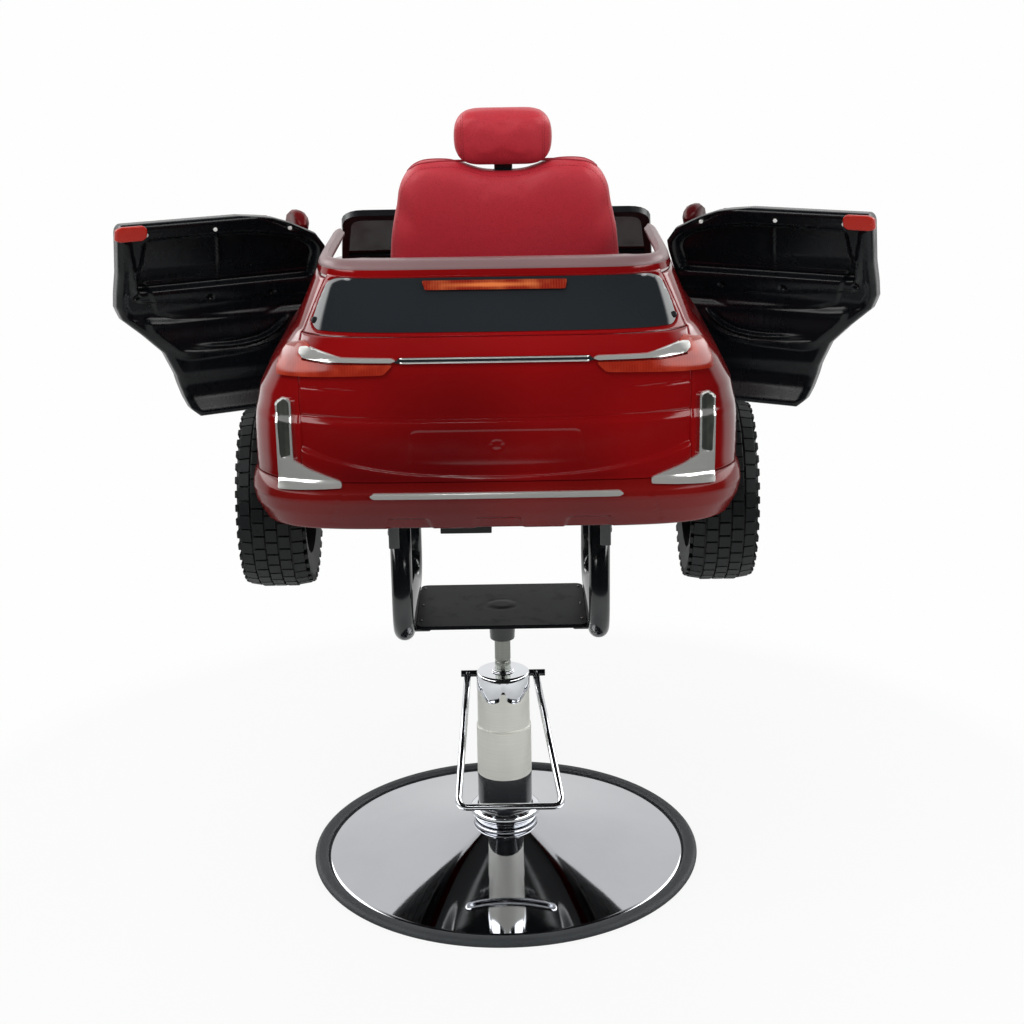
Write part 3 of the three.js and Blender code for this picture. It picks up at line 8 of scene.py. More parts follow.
import json
import logging
from dataclasses import dataclass
from enum import Enum
from functools import lru_cache
from math import cos, pi, radians, sin
from typing import Any, Callable, Iterable, Sequence

import bmesh
import bpy
import numpy as np
from mathutils import Matrix, Vector


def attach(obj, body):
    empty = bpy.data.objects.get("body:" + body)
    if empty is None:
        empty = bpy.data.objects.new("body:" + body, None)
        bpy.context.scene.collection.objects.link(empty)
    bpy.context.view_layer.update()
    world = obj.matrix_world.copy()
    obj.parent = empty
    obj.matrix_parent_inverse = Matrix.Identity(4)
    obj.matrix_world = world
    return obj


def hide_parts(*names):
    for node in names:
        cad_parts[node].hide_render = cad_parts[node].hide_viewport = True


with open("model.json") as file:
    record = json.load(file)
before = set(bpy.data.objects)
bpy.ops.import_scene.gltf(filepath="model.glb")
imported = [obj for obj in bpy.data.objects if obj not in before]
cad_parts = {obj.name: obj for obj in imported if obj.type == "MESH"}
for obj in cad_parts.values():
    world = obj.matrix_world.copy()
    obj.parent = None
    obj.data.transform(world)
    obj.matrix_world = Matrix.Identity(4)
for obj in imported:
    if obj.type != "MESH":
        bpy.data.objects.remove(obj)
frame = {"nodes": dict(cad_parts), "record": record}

log = logging.getLogger("barber_chair")

MM = 0.001
CAR_MID = 28.0          # the car's own frame lies this far ahead of the shared frame
SEAT_X = 14.0           # the seat stands a little to the right of the car's centre line

Colour = tuple[int, int, int]
Pair = tuple[float, float]
Line = Sequence[Pair]
Rows = np.ndarray
Piece = bpy.types.Object
Material = bpy.types.Material


class Side(Enum):
    """The two sides of the chair, as signs along X."""

    LEFT = -1
    RIGHT = 1

    @property
    def word(self) -> str:
        """The side as it stands in names."""
        return self.name.lower()


# which body carries each imported node
BODIES = {node: body for body, nodes in frame["record"]["behaviour"]["bodies"].items() for node in nodes}


# ---- numbers ----
def linear(colour: Colour) -> tuple[float, float, float, float]:
    """Turns a colour as seen on screen into the shader's scale.

    Args:
        colour: red, green and blue from 0 to 255.

    Returns:
        Red, green, blue and alpha from 0 to 1, without the screen's curve.
    """
    parts = [c / 255.0 for c in colour]
    return tuple(p / 12.92 if p <= 0.04045 else ((p + 0.055) / 1.055) ** 2.4 for p in parts) + (1.0,)


def mix(low: Any, high: Any, share: Any) -> Any:
    """The value a share of the way from low to high."""
    return low + (high - low) * share


def eased(share: Any) -> Any:
    """A soft step from 0 to 1, level at both ends."""
    held = np.clip(share, 0.0, 1.0)
    return held * held * (3.0 - 2.0 * held)


def corner_curve(start: Rows, corner: Rows, stop: Rows, steps: int) -> list[Rows]:
    """The points of the curve that rounds a corner off."""
    return [(1 - t) ** 2 * start + 2 * t * (1 - t) * corner + t * t * stop for t
            in (k / steps for k in range(steps + 1))]


def rounded(points: Line, radius: float | Sequence[float], steps: int = 4, closed: bool = True) -> list[Pair]:
    """Rounds the corners of a flat line of points.

    Args:
        points: the corners, in order.
        radius: how far before and after a corner its curve starts, one for all or one for each.
        steps: how many short edges a rounded corner gets.
        closed: whether the last point joins the first.

    Returns:
        The points of the rounded line.
    """
    corners = np.array(points, float)
    count = len(corners)
    radii = [radius] * count if isinstance(radius, (int, float)) else list(radius)
    line: list[Pair] = []
    for i, corner in enumerate(corners):
        ends = not closed and i in (0, count - 1)
        before, after = corners[i - 1], corners[(i + 1) % count]
        back, ahead = before - corner, after - corner
        reach = min(radii[i], 0.48 * np.hypot(*back), 0.48 * np.hypot(*ahead))
        if ends or reach < 1e-3:
            line.append((float(corner[0]), float(corner[1])))
            continue
        start = corner + back / np.hypot(*back) * reach
        stop = corner + ahead / np.hypot(*ahead) * reach
        line += [(float(p[0]), float(p[1])) for p in corner_curve(start, corner, stop, steps)]
    return line


def bent_path(points: Sequence[Sequence[float]], bend: float, steps: int = 8) -> Rows:
    """A path in space with its corners bent round, as a tube bender leaves it.

    Args:
        points: the corners, in order.
        bend: how far from each corner the bend starts.
        steps: how many short edges each bend gets.

    Returns:
        The path's points as rows.
    """
    corners = np.array(points, float)
    rows = [corners[0]]
    for i in range(1, len(corners) - 1):
        corner = corners[i]
        back, ahead = corners[i - 1] - corner, corners[i + 1] - corner
        start = corner + back / np.linalg.norm(back) * bend
        stop = corner + ahead / np.linalg.norm(ahead) * bend
        rows += corner_curve(start, corner, stop, steps)
    return np.array(rows + [corners[-1]])


def polygon_distance(s: Rows, z: Rows, outline: Line, closed: bool = True) -> Rows:
    """How far points lie from a flat line, or inside a flat outline.

    Args:
        s: the points' first coordinates.
        z: the points' second coordinates.
        outline: the line's corners, in order.
        closed: whether the last corner joins the first.

    Returns:
        The distance to an open line; for an outline, above 0 inside it and below 0 outside it.
    """
    near = np.full(s.shape, 1e9)
    inside = np.zeros(s.shape, bool)
    ends = list(outline[1:]) + list(outline[:1]) if closed else outline[1:]
    for (x0, y0), (x1, y1) in zip(outline, ends):
        dx, dy = x1 - x0, y1 - y0
        t = np.clip(((s - x0) * dx + (z - y0) * dy) / (dx * dx + dy * dy), 0, 1)
        near = np.minimum(near, np.hypot(s - x0 - t * dx, z - y0 - t * dy))
        inside ^= ((y0 > z) != (y1 > z)) & (s < x0 + (z - y0) * dx / (dy if dy else 1e-12))
    return np.where(inside, near, -near) if closed else near


# ---- meshes ----
def linked(name: str, data: Any) -> Piece:
    """A new object of the scene around a mesh, a lamp or a camera."""
    made = bpy.data.objects.new(name, data)
    bpy.context.scene.collection.objects.link(made)
    return made


def modifier(piece: Piece, kind: str, **settings: Any) -> bpy.types.Modifier:
    """Adds one modifier of a kind with its settings."""
    made = piece.modifiers.new(kind.lower(), kind)
    for key, value in settings.items():
        setattr(made, key, value)
    return made


def mesh_object(name: str, points: Rows, faces: Iterable[Sequence[int]], outward: bool = True) -> Piece:
    """Makes an object from points in millimetres.

    Args:
        name: the piece's name.
        points: one row of x, y and z for each point.
        faces: rows of point numbers.
        outward: whether its faces are turned outwards, for a closed shape.

    Returns:
        The new object, shaded smooth.
    """
    mesh = bpy.data.meshes.new(name)
    mesh.from_pydata((np.asarray(points, float) * MM).tolist(), [], [tuple(int(i) for i in f) for f in faces])
    piece = linked(name, mesh)
    work = bmesh.new()
    work.from_mesh(mesh)
    bmesh.ops.remove_doubles(work, verts=work.verts, dist=2e-6)
    bmesh.ops.dissolve_degenerate(work, edges=work.edges, dist=1e-7)
    if outward:
        bmesh.ops.recalc_face_normals(work, faces=work.faces)
    for face in work.faces:
        face.smooth = True
    work.to_mesh(mesh)
    work.free()
    return piece


def grid_faces(rows: int, columns: int, start: int = 0, wrap: bool = False) -> list[tuple[int, int, int, int]]:
    """The faces of a grid of points, row by row, that may close on itself along the columns."""
    faces = []
    for r in range(rows - 1):
        for c in range(columns if wrap else columns - 1):
            n = (c + 1) % columns
            a, b = start + r * columns + c, start + r * columns + n
            faces.append((a, b, b + columns, a + columns))
    return faces


def panel(name: str, outer: Rows, inner: Rows) -> Piece:
    """A closed moulded panel between an outer and an inner grid of points.

    Args:
        name: the piece's name.
        outer: rows of points of the face that is seen.
        inner: rows of points of the face behind it.

    Returns:
        The panel.
    """
    rows, columns = outer.shape[:2]
    points = np.concatenate([outer.reshape(-1, 3), inner.reshape(-1, 3)])
    faces = grid_faces(rows, columns)
    half = rows * columns
    faces += [tuple(reversed(f)) for f in grid_faces(rows, columns, half)]
    rim = [(0, c) for c in range(columns)] + [(r, columns - 1) for r in range(1, rows)]
    rim += [(rows - 1, c) for c in range(columns - 2, -1, -1)] + [(r, 0) for r in range(rows - 2, 0, -1)]
    for (r0, c0), (r1, c1) in zip(rim, rim[1:] + rim[:1]):
        a, b = r0 * columns + c0, r1 * columns + c1
        faces.append((a, a + half, b + half, b))
    return mesh_object(name, points, faces)


def loft(name: str, loops: Sequence[Rows], closed: bool = False) -> Piece:
    """A solid through closed loops of points.

    Args:
        name: the piece's name.
        loops: the loops in order, each with as many points as the first.
        closed: whether the last loop joins the first; otherwise both ends are capped.

    Returns:
        The solid.
    """
    count, last = len(loops[0]), (len(loops) - 1) * len(loops[0])
    faces: list[Sequence[int]] = list(grid_faces(len(loops), count, wrap=True))
    if closed:
        faces += [(last + c, last + (c + 1) % count, (c + 1) % count, c) for c in range(count)]
    else:
        faces += [tuple(range(count))[::-1], tuple(range(last, last + count))]
    return mesh_object(name, np.concatenate([np.asarray(loop, float) for loop in loops]), faces)


def revolve(name: str, profile: Line, segments: int = 128, closed: bool = True) -> Piece:
    """A profile of radius and height turned about the vertical axis.

    Args:
        name: the piece's name.
        profile: pairs of radius and height. A radius of 0 closes on the axis.
        segments: how many facets go round.
        closed: whether the profile's last point joins its first; otherwise it starts and ends on the axis.

    Returns:
        The turned piece.
    """
    turns = np.arange(segments) * (2 * pi / segments)
    loops = [np.column_stack([r * np.cos(turns), r * np.sin(turns), np.full(segments, z)]) for r, z in profile]
    if closed:
        return loft(name, loops, True)
    return mesh_object(name, np.concatenate(loops), grid_faces(len(profile), segments, wrap=True))


def sweep(name: str, path: Rows, section: Line, up: Sequence[float] = (0, 0, 1), closed: bool = False) -> Piece:
    """A section carried along a path without twisting.

    Args:
        name: the piece's name.
        path: the path's points as rows.
        section: the closed section, as pairs across and up from the path.
        up: the direction that the section's second axis starts along.
        closed: whether the path joins itself.

    Returns:
        The swept piece.
    """
    rows = np.asarray(path, float)
    ahead = np.roll(rows, -1, 0) - np.roll(rows, 1, 0)
    if not closed:
        ahead[0], ahead[-1] = rows[1] - rows[0], rows[-1] - rows[-2]
    ahead /= np.linalg.norm(ahead, axis=1)[:, None]
    normal, shape = np.asarray(up, float), np.array(section, float)
    loops = []
    for spot, way in zip(rows, ahead):
        normal = normal - way * normal.dot(way)
        normal /= np.linalg.norm(normal)
        loops.append(spot + shape[:, :1] * np.cross(way, normal) + shape[:, 1:] * normal)
    return loft(name, loops, closed)


def turned_bar(name: str, profile: Line, radius: float, steps: int, segments: int) -> Piece:
    """A solid turned piece, with the corners of its profile rounded."""
    return revolve(name, rounded(profile, radius, steps, False), segments, closed=False)


def circle(radius: float, sides: int = 24) -> list[Pair]:
    """A round section."""
    return [(radius * cos(t), radius * sin(t)) for t in np.arange(sides) * 2 * pi / sides]


def slab(name: str, outline: Line, low: float, high: float, place: Callable[[Rows], Rows] | None = None) -> Piece:
    """A flat outline given a thickness.

    Args:
        name: the piece's name.
        outline: the outline's corners in the plane.
        low: where the thickness starts.
        high: where it ends.
        place: turns rows of u, v and w into points, or None for x, y and z.

    Returns:
        The slab.
    """
    flat = np.array(outline, float)
    loops = [np.column_stack([flat, np.full(len(flat), w)]) for w in (low, high)]
    return loft(name, [place(loop) if place else loop for loop in loops])


def smoothed(piece: Piece) -> Piece:
    """Shades a piece smooth."""
    for face in piece.data.polygons:
        face.use_smooth = True
    return piece


def moved(piece: Piece, place: Sequence[float], turn: Matrix | None = None) -> Piece:
    """Turns a piece's mesh and moves it to a place in millimetres."""
    piece.data.transform(Matrix.Translation(Vector(place) * MM) @ (turn or Matrix.Identity(4)))
    return piece


def joined(name: str, pieces: Sequence[Piece]) -> Piece:
    """Puts several pieces into one object and removes the originals."""
    work = bmesh.new()
    graph = bpy.context.evaluated_depsgraph_get()
    for piece in pieces:
        shown = piece.evaluated_get(graph)
        work.from_mesh(shown.to_mesh())
        shown.to_mesh_clear()
    mesh = bpy.data.meshes.new(name)
    work.to_mesh(mesh)
    work.free()
    whole = linked(name, mesh)
    for piece in pieces:
        bpy.data.objects.remove(piece, do_unlink=True)
    return whole


def bevelled(piece: Piece, width: float, segments: int = 2, angle: float = 32.0) -> Piece:
    """Rolls a piece's sharp edges over with a live bevel.

    Args:
        piece: the piece.
        width: the bevel's width in millimetres.
        segments: how many facets the rolled edge gets.
        angle: the least angle in degrees at which an edge counts as sharp.

    Returns:
        The same piece.
    """
    modifier(piece, "BEVEL", width=width * MM, segments=segments, limit_method="ANGLE",
            angle_limit=radians(angle), harden_normals=True)
    return piece


def applied(piece: Piece) -> Piece:
    """Turns a piece's modifiers into plain mesh."""
    graph = bpy.context.evaluated_depsgraph_get()
    mesh = bpy.data.meshes.new_from_object(piece.evaluated_get(graph))
    piece.modifiers.clear()
    old = piece.data
    piece.data = mesh
    bpy.data.meshes.remove(old)
    return piece


def carved(piece: Piece, tools: Sequence[Piece], keep: bool = False) -> Piece:
    """Cuts solids out of a piece and removes them, or keeps only what lies in them."""
    for tool in tools:
        modifier(piece, "BOOLEAN", operation="INTERSECT" if keep else "DIFFERENCE", object=tool, solver="EXACT")
        applied(piece)
        bpy.data.objects.remove(tool, do_unlink=True)
    return smoothed(piece)


def copied_solid(name: str, node: str, width: float, segments: int = 2, angle: float = 28.0) -> Piece:
    """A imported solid's own shape, merged and with its edges rolled.

    Args:
        name: the new piece's name.
        node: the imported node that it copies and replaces.
        width: the rolled edge's width in millimetres.
        segments: the rolled edge's facets.
        angle: the least angle in degrees that counts as an edge.

    Returns:
        The new piece.
    """
    source = frame["nodes"][node].data
    points = np.zeros(len(source.vertices) * 3)
    source.vertices.foreach_get("co", points)
    faces = [tuple(p.vertices) for p in source.polygons]
    piece = mesh_object(name, points.reshape(-1, 3) / MM, faces, outward=False)
    work = bmesh.new()
    work.from_mesh(piece.data)
    bmesh.ops.remove_doubles(work, verts=work.verts, dist=2e-5)
    bmesh.ops.dissolve_limit(work, angle_limit=radians(1.2), verts=work.verts, edges=work.edges)
    for edge in work.edges:
        edge.smooth = len(edge.link_faces) == 2 and edge.calc_face_angle(0.0) < radians(angle)
    work.to_mesh(piece.data)
    work.free()
    return bevelled(piece, width, segments, angle)


def added(piece: Piece, look: "Finish", node: str) -> Piece:
    """Dresses a piece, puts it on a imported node's body and logs it.

    Args:
        piece: the piece.
        look: its finish.
        node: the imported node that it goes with.

    Returns:
        The same piece.
    """
    if not piece.data.materials:
        piece.data.materials.append(look.material())
    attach(piece, BODIES[node])
    log.info("%s on %s, %d faces", piece.name, BODIES[node], len(piece.data.polygons))
    return piece


def finished(piece: Piece, look: "Finish", node: str) -> Piece:
    """Dresses a piece as added does, and lets it stand for the node."""
    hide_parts(node)
    return added(piece, look, node)


def kept(name: str, node: str, look: "Finish", width: float, segments: int = 2, angle: float = 28.0) -> Piece:
    """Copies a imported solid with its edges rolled, and dresses it."""
    return finished(copied_solid(name, node, width, segments, angle), look, node)


# ---- shader maths ----
def joins(operation: str, swapped: bool = False) -> Callable[..., "Signal"]:
    """A Signal's method that adds one Math node over its own value and any others.

    Args:
        operation: the Math node's operation.
        swapped: whether the other value comes first.

    Returns:
        The method.
    """
    def method(own: "Signal", *others: Any) -> "Signal":
        """Joins the values."""
        values = (*others, own) if swapped else (own, *others)
        return own.paint.node("ShaderNodeMath", {"operation": operation}, dict(enumerate(values)))

    return method


class Signal:
    """A shader value that joins Python sums as Math nodes."""

    def __init__(self, paint: "Paint", socket: bpy.types.NodeSocket) -> None:
        """Wraps one output socket."""
        self.paint = paint
        self.socket = socket

    __add__ = __radd__ = joins("ADD")
    __sub__, __rsub__ = joins("SUBTRACT"), joins("SUBTRACT", swapped=True)
    __mul__ = __rmul__ = joins("MULTIPLY")
    __truediv__, __pow__ = joins("DIVIDE"), joins("POWER")
    least, most = joins("MINIMUM"), joins("MAXIMUM")
    size, wave = joins("ABSOLUTE"), joins("SINE")

    def step(self, low: float, high: float) -> "Signal":
        """A soft step from 0 at low to 1 at high."""
        return self.paint.node("ShaderNodeMapRange", {"interpolation_type": "SMOOTHSTEP"},
                {0: self, 1: low, 2: high, 3: 0.0, 4: 1.0})


class Paint:
    """A material while its nodes are being joined."""

    def __init__(self, name: str, world: bpy.types.World | None = None) -> None:
        """Starts an empty material, or empties a world's nodes.

        Args:
            name: the material's name.
            world: the world to dress instead of a material.
        """
        self.result = world or bpy.data.materials.new(name)
        self.result.use_nodes = True
        self.tree = self.result.node_tree
        self.tree.nodes.clear()
        self.exit = self.tree.nodes.new("ShaderNodeOutputWorld" if world else "ShaderNodeOutputMaterial")

    def node(self, kind: str, settings: dict[str, Any] | None = None, inputs: dict[Any, Any] | None = None,
            output: int | str = 0) -> Signal:
        """Adds any node.

        Args:
            kind: the node's type.
            settings: its own properties.
            inputs: values or signals by socket name or number.
            output: which output to hand back.

        Returns:
            The chosen output.
        """
        made = self.tree.nodes.new(kind)
        for key, value in (settings or {}).items():
            setattr(made, key, value)
        for key, value in (inputs or {}).items():
            if isinstance(value, Signal):
                self.tree.links.new(value.socket, made.inputs[key])
            elif value is not None:
                made.inputs[key].default_value = value
        return Signal(self, made.outputs[output])

    def place(self, scale: Sequence[float] | None = None) -> Signal:
        """Object coordinates in metres, stretched if asked."""
        spot = self.node("ShaderNodeTexCoord", output="Object")
        return self.node("ShaderNodeMapping", {}, {"Vector": spot, "Scale": scale}) if scale else spot

    def axes(self, vector: Signal | None = None) -> tuple[Signal, Signal, Signal]:
        """The three parts of a vector, or of the object coordinates."""
        split = self.node("ShaderNodeSeparateXYZ", {}, {0: vector or self.place()})
        outputs = split.socket.node.outputs
        return tuple(Signal(self, outputs[i]) for i in range(3))

    def noise(self, scale: float, detail: float = 3.0, rough: float = 0.5, vector: Signal | None = None) -> Signal:
        """Cloudy noise from 0 to 1."""
        return self.node("ShaderNodeTexNoise", {}, {"Vector": vector or self.place(), "Scale": scale,
                "Detail": detail, "Roughness": rough})

    def cells(self, scale: float, feature: str = "F1", vector: Signal | None = None) -> Signal:
        """Distances of a cell pattern."""
        return self.node("ShaderNodeTexVoronoi", {"feature": feature},
                {"Vector": vector or self.place(), "Scale": scale}, "Distance")

    def tint(self, share: Any, first: Any, second: Any) -> Signal:
        """Mixes two colours by a share.

        Args:
            share: how much of the second colour shows.
            first: a colour from 0 to 255, or a signal.
            second: a colour from 0 to 255, or a signal.

        Returns:
            The mixed colour.
        """
        pick = [c if isinstance(c, Signal) else linear(c) for c in (first, second)]
        return self.node("ShaderNodeMix", {"data_type": "RGBA", "clamp_factor": True},
                {0: share, 6: pick[0], 7: pick[1]}, output=2)

    def bump(self, height: Signal, depth: float, strength: float = 1.0) -> Signal:
        """Turns a height into a normal; depth is in millimetres."""
        return self.node("ShaderNodeBump", {}, {"Strength": strength, "Distance": depth * MM, "Height": height})

    def surface(self, colour: Any, roughness: Any, **inputs: Any) -> Signal:
        """The main surface shader, its other sockets named with underscores for spaces."""
        named = {key.replace("_", " "): value for key, value in inputs.items()}
        return self.node("ShaderNodeBsdfPrincipled", {}, {"Base Color": colour, "Roughness": roughness, **named})

    def done(self, shader: Signal) -> Material:
        """Joins the shader to the output and hands the material back."""
        self.tree.links.new(shader.socket, self.exit.inputs["Surface"])
        return self.result


# ---- finishes ----
@dataclass(frozen=True)
class Finish:
    """A named finish; each kind below builds its own nodes once."""

    name: str
    colour: Colour
    roughness: float

    @lru_cache(maxsize=None)
    def material(self) -> Material:
        """The finish as a material, made on first use."""
        paint = Paint(self.name)
        return paint.done(self.shader(paint))

    def shader(self, paint: Paint) -> Signal:
        """Joins the nodes of this finish."""
        raise NotImplementedError


@dataclass(frozen=True)
class Plated(Finish):
    """Polished chrome plate with faint handling smears."""

    smear: float = 0.06
    dim: Colour = (150, 152, 156)
    metal: float = 1.0

    def shader(self, paint: Paint) -> Signal:
        """Joins the nodes of the plate."""
        cloud = paint.noise(9.0, 4.0, 0.6)
        fine = paint.noise(420.0, 2.0)
        rough = self.roughness + self.smear * cloud.step(0.42, 0.75)
        colour = paint.tint(0.14 * cloud.step(0.3, 0.8), self.colour, self.dim)
        normal = paint.bump(fine, 0.02, 0.35)
        return paint.surface(colour, rough, Metallic=self.metal, Normal=normal)


@dataclass(frozen=True)
class Brushed(Finish):
    """Satin steel turned on a lathe, with fine rings."""

    dim: Colour = (120, 121, 118)
    metal: float = 1.0

    def shader(self, paint: Paint) -> Signal:
        """Joins the nodes of the brushed metal."""
        rings = paint.noise(1.0, 3.0, 0.7, paint.place((4.0, 4.0, 900.0)))
        cloud = paint.noise(14.0, 3.0)
        colour = paint.tint(0.4 * rings.step(0.35, 0.8) + 0.2 * cloud, self.colour, self.dim)
        rough = self.roughness + 0.14 * rings.step(0.3, 0.7) - 0.05 * cloud
        normal = paint.bump(rings, 0.03, 0.4)
        return paint.surface(colour, rough, Metallic=self.metal, Normal=normal)


@dataclass(frozen=True)
class Enamel(Finish):
    """Glossy paint over sheet or moulded plastic, with a slow ripple and dust in the coat."""

    deep: Colour = (70, 6, 8)
    ripple: float = 0.12
    coat: float = 0.5
    specular: float = 0.3

    def shader(self, paint: Paint) -> Signal:
        """Joins the nodes of the paint."""
        cloud = paint.noise(2.6, 2.0, 0.5)
        ripple = paint.noise(26.0, 2.0, 0.5)
        dust = paint.cells(260.0)
        colour = paint.tint(cloud.step(0.3, 0.72), self.colour, self.deep)
        rough = self.roughness + 0.04 * paint.noise(60.0, 3.0).step(0.45, 0.8) + 0.05 * (1.0 - dust.step(0.02, 0.09))
        normal = paint.bump(ripple, self.ripple, 0.5)
        return paint.surface(colour, rough, Normal=normal, Specular_IOR_Level=self.specular, Coat_Weight=self.coat,
                Coat_Roughness=0.06)


@dataclass(frozen=True)
class Moulded(Finish):
    """Moulded plastic with a fine spark-eroded grain and slight scuffs."""

    worn: Colour = (46, 48, 52)
    grain: float = 900.0
    depth: float = 0.05
    specular: float = 0.4

    def shader(self, paint: Paint) -> Signal:
        """Joins the nodes of the plastic."""
        grain = paint.cells(self.grain, "SMOOTH_F1")
        cloud = paint.noise(11.0, 5.0, 0.62)
        scuff = paint.noise(38.0, 4.0, 0.7, paint.place((1.0, 1.0, 0.25)))
        colour = paint.tint(0.55 * cloud.step(0.45, 0.8) + 0.25 * scuff.step(0.6, 0.75), self.colour, self.worn)
        rough = self.roughness + 0.12 * scuff.step(0.5, 0.8) - 0.06 * cloud
        normal = paint.bump(grain, self.depth, 0.6)
        return paint.surface(colour, rough, Normal=normal, Specular_IOR_Level=self.specular)


@dataclass(frozen=True)
class Rubbery(Finish):
    """Dull rubber with pale specks of dust and a faint mould texture."""

    speck: Colour = (128, 132, 134)
    specks: float = 0.35

    def shader(self, paint: Paint) -> Signal:
        """Joins the nodes of the rubber."""
        fine = paint.noise(520.0, 3.0, 0.6)
        dots = 1.0 - paint.cells(300.0).step(0.05, 0.2)
        cloud = paint.noise(16.0, 3.0)
        colour = paint.tint(self.specks * dots + 0.12 * cloud, self.colour, self.speck)
        rough = self.roughness + 0.14 * (fine - 0.5)
        normal = paint.bump(fine, 0.12, 0.5)
        return paint.surface(colour, rough, Normal=normal, Specular_IOR_Level=0.35)


@dataclass(frozen=True)
class Leather(Finish):
    """Matte leatherette with a pebbled grain, darkened in the grain's valleys as painted shade."""

    # crease: the colour of the painted shade in the grain's valleys
    crease: Colour = (120, 22, 32)
    worn: Colour = (186, 56, 66)
    pebble: float = 620.0

    def shader(self, paint: Paint) -> Signal:
        """Joins the nodes of the leather."""
        shake = paint.node("ShaderNodeTexNoise", {}, {"Vector": paint.place(), "Scale": 90.0}, "Color")
        drift = paint.node("ShaderNodeVectorMath", {"operation": "MULTIPLY_ADD"},
                {0: shake, 1: (0.0016,) * 3, 2: paint.place()})
        pebbles = paint.cells(self.pebble, "DISTANCE_TO_EDGE", drift)
        cloud = paint.noise(7.0, 4.0, 0.6)
        fine = paint.noise(1500.0, 2.0)
        # the valleys between pebbles are painted darker towards crease as shade, and are also made rougher
        shaded_valley = 1.0 - pebbles.step(0.02, 0.16)
        colour = paint.tint(0.5 * shaded_valley, paint.tint(0.45 * cloud.step(0.35, 0.75), self.colour, self.worn),
                self.crease)
        rough = self.roughness + 0.1 * shaded_valley + 0.08 * (cloud - 0.5)
        normal = paint.bump(pebbles.step(0.0, 0.25) + 0.25 * fine, 0.09, 0.55)
        return paint.surface(colour, rough, Normal=normal, Specular_IOR_Level=0.4, Sheen_Weight=0.03,
                Sheen_Roughness=0.4)


@dataclass(frozen=True)
class Lens(Finish):
    """A coloured lamp lens with optic ribs behind its clear skin, a faint painted glow, and a painted highlight band
    where one is given.
    """

    glow: Colour = (196, 74, 46)
    ribs: float = 1800.0
    # a bright band painted across the lens as a highlight: its middle across, its height, its half width and its half
    # height, in metres
    streak: tuple[float, float, float, float] = (0.0, 0.0, 0.0, 0.0)
    # the strength of the painted glow: the lens gives off its own colour as light
    shine: float = 0.04

    def shader(self, paint: Paint) -> Signal:
        """Joins the nodes of the lens."""
        across, _, up = paint.axes()
        ribs = (across * self.ribs).wave() * 0.5 + 0.5
        cloud = paint.noise(30.0, 2.0).step(0.4, 0.7)
        middle, height, wide, tall = self.streak
        lift = 0.12 * ribs + 0.4 * cloud
        # along the band the colour lifts to the glow colour: a painted highlight
        if wide:
            glow = 1.0 - ((across - middle).size() / wide).least(1.0)
            lift = lift + 1.4 * glow * (1.0 - ((up - height).size() / tall).least(1.0))
        colour = paint.tint(lift.least(1.0), self.colour, self.glow)
        normal = paint.bump(ribs, 0.08, 0.2)
        # the emission is the lens's painted glow
        return paint.surface(colour, self.roughness + 0.08 * cloud, Normal=normal, Specular_IOR_Level=0.3,
                Coat_Weight=0.12, Coat_Roughness=0.04, Emission_Color=colour, Emission_Strength=self.shine)


@dataclass(frozen=True)
class Glazing(Finish):
    """Clear acrylic: it lets light through straight and reflects at a slant."""

    cover: float = 0.25
    clouded: Colour = (70, 40, 42)

    def shader(self, paint: Paint) -> Signal:
        """Joins the nodes of the acrylic."""
        slant = paint.node("ShaderNodeLayerWeight", {}, {"Blend": 0.35}, output="Facing")
        haze = paint.noise(30.0, 4.0, 0.6).step(0.4, 0.85)
        solid = paint.surface(paint.tint(0.2 * haze, self.colour, self.clouded), self.roughness + 0.1 * haze,
                Coat_Weight=0.6)
        open_air = paint.node("ShaderNodeBsdfTransparent", {}, {})
        share = (self.cover + 0.2 * slant * slant + 0.06 * haze).least(1.0)
        return paint.node("ShaderNodeMixShader", {}, {0: share, 1: open_air, 2: solid})


CHROME = Plated("polished_chrome", (224, 226, 230), 0.05)
DOME_CHROME = Plated("dome_chrome", (184, 185, 189), 0.03, smear=0.02)
TRIM_CHROME = Plated("trim_chrome", (232, 232, 228), 0.1, metal=0.72)
PALE_CAP = Moulded("pale_cap", (214, 215, 212), 0.3, worn=(180, 181, 178), grain=1400.0, depth=0.02)
COVER_STEEL = Brushed("cover_steel", (226, 226, 218), 0.34, dim=(200, 200, 192), metal=0.25)
RAM_STEEL = Brushed("ram_steel", (150, 153, 146), 0.3, dim=(88, 90, 86))
PIN_STEEL = Brushed("pin_steel", (176, 178, 176), 0.28)
RED_SHELL = Enamel("red_shell", (130, 9, 11), 0.12, deep=(76, 5, 7), coat=0.25)
RED_BUMPER = Enamel("red_bumper", (112, 16, 14), 0.2, deep=(84, 10, 10), ripple=0.15, coat=0.08, specular=0.16)
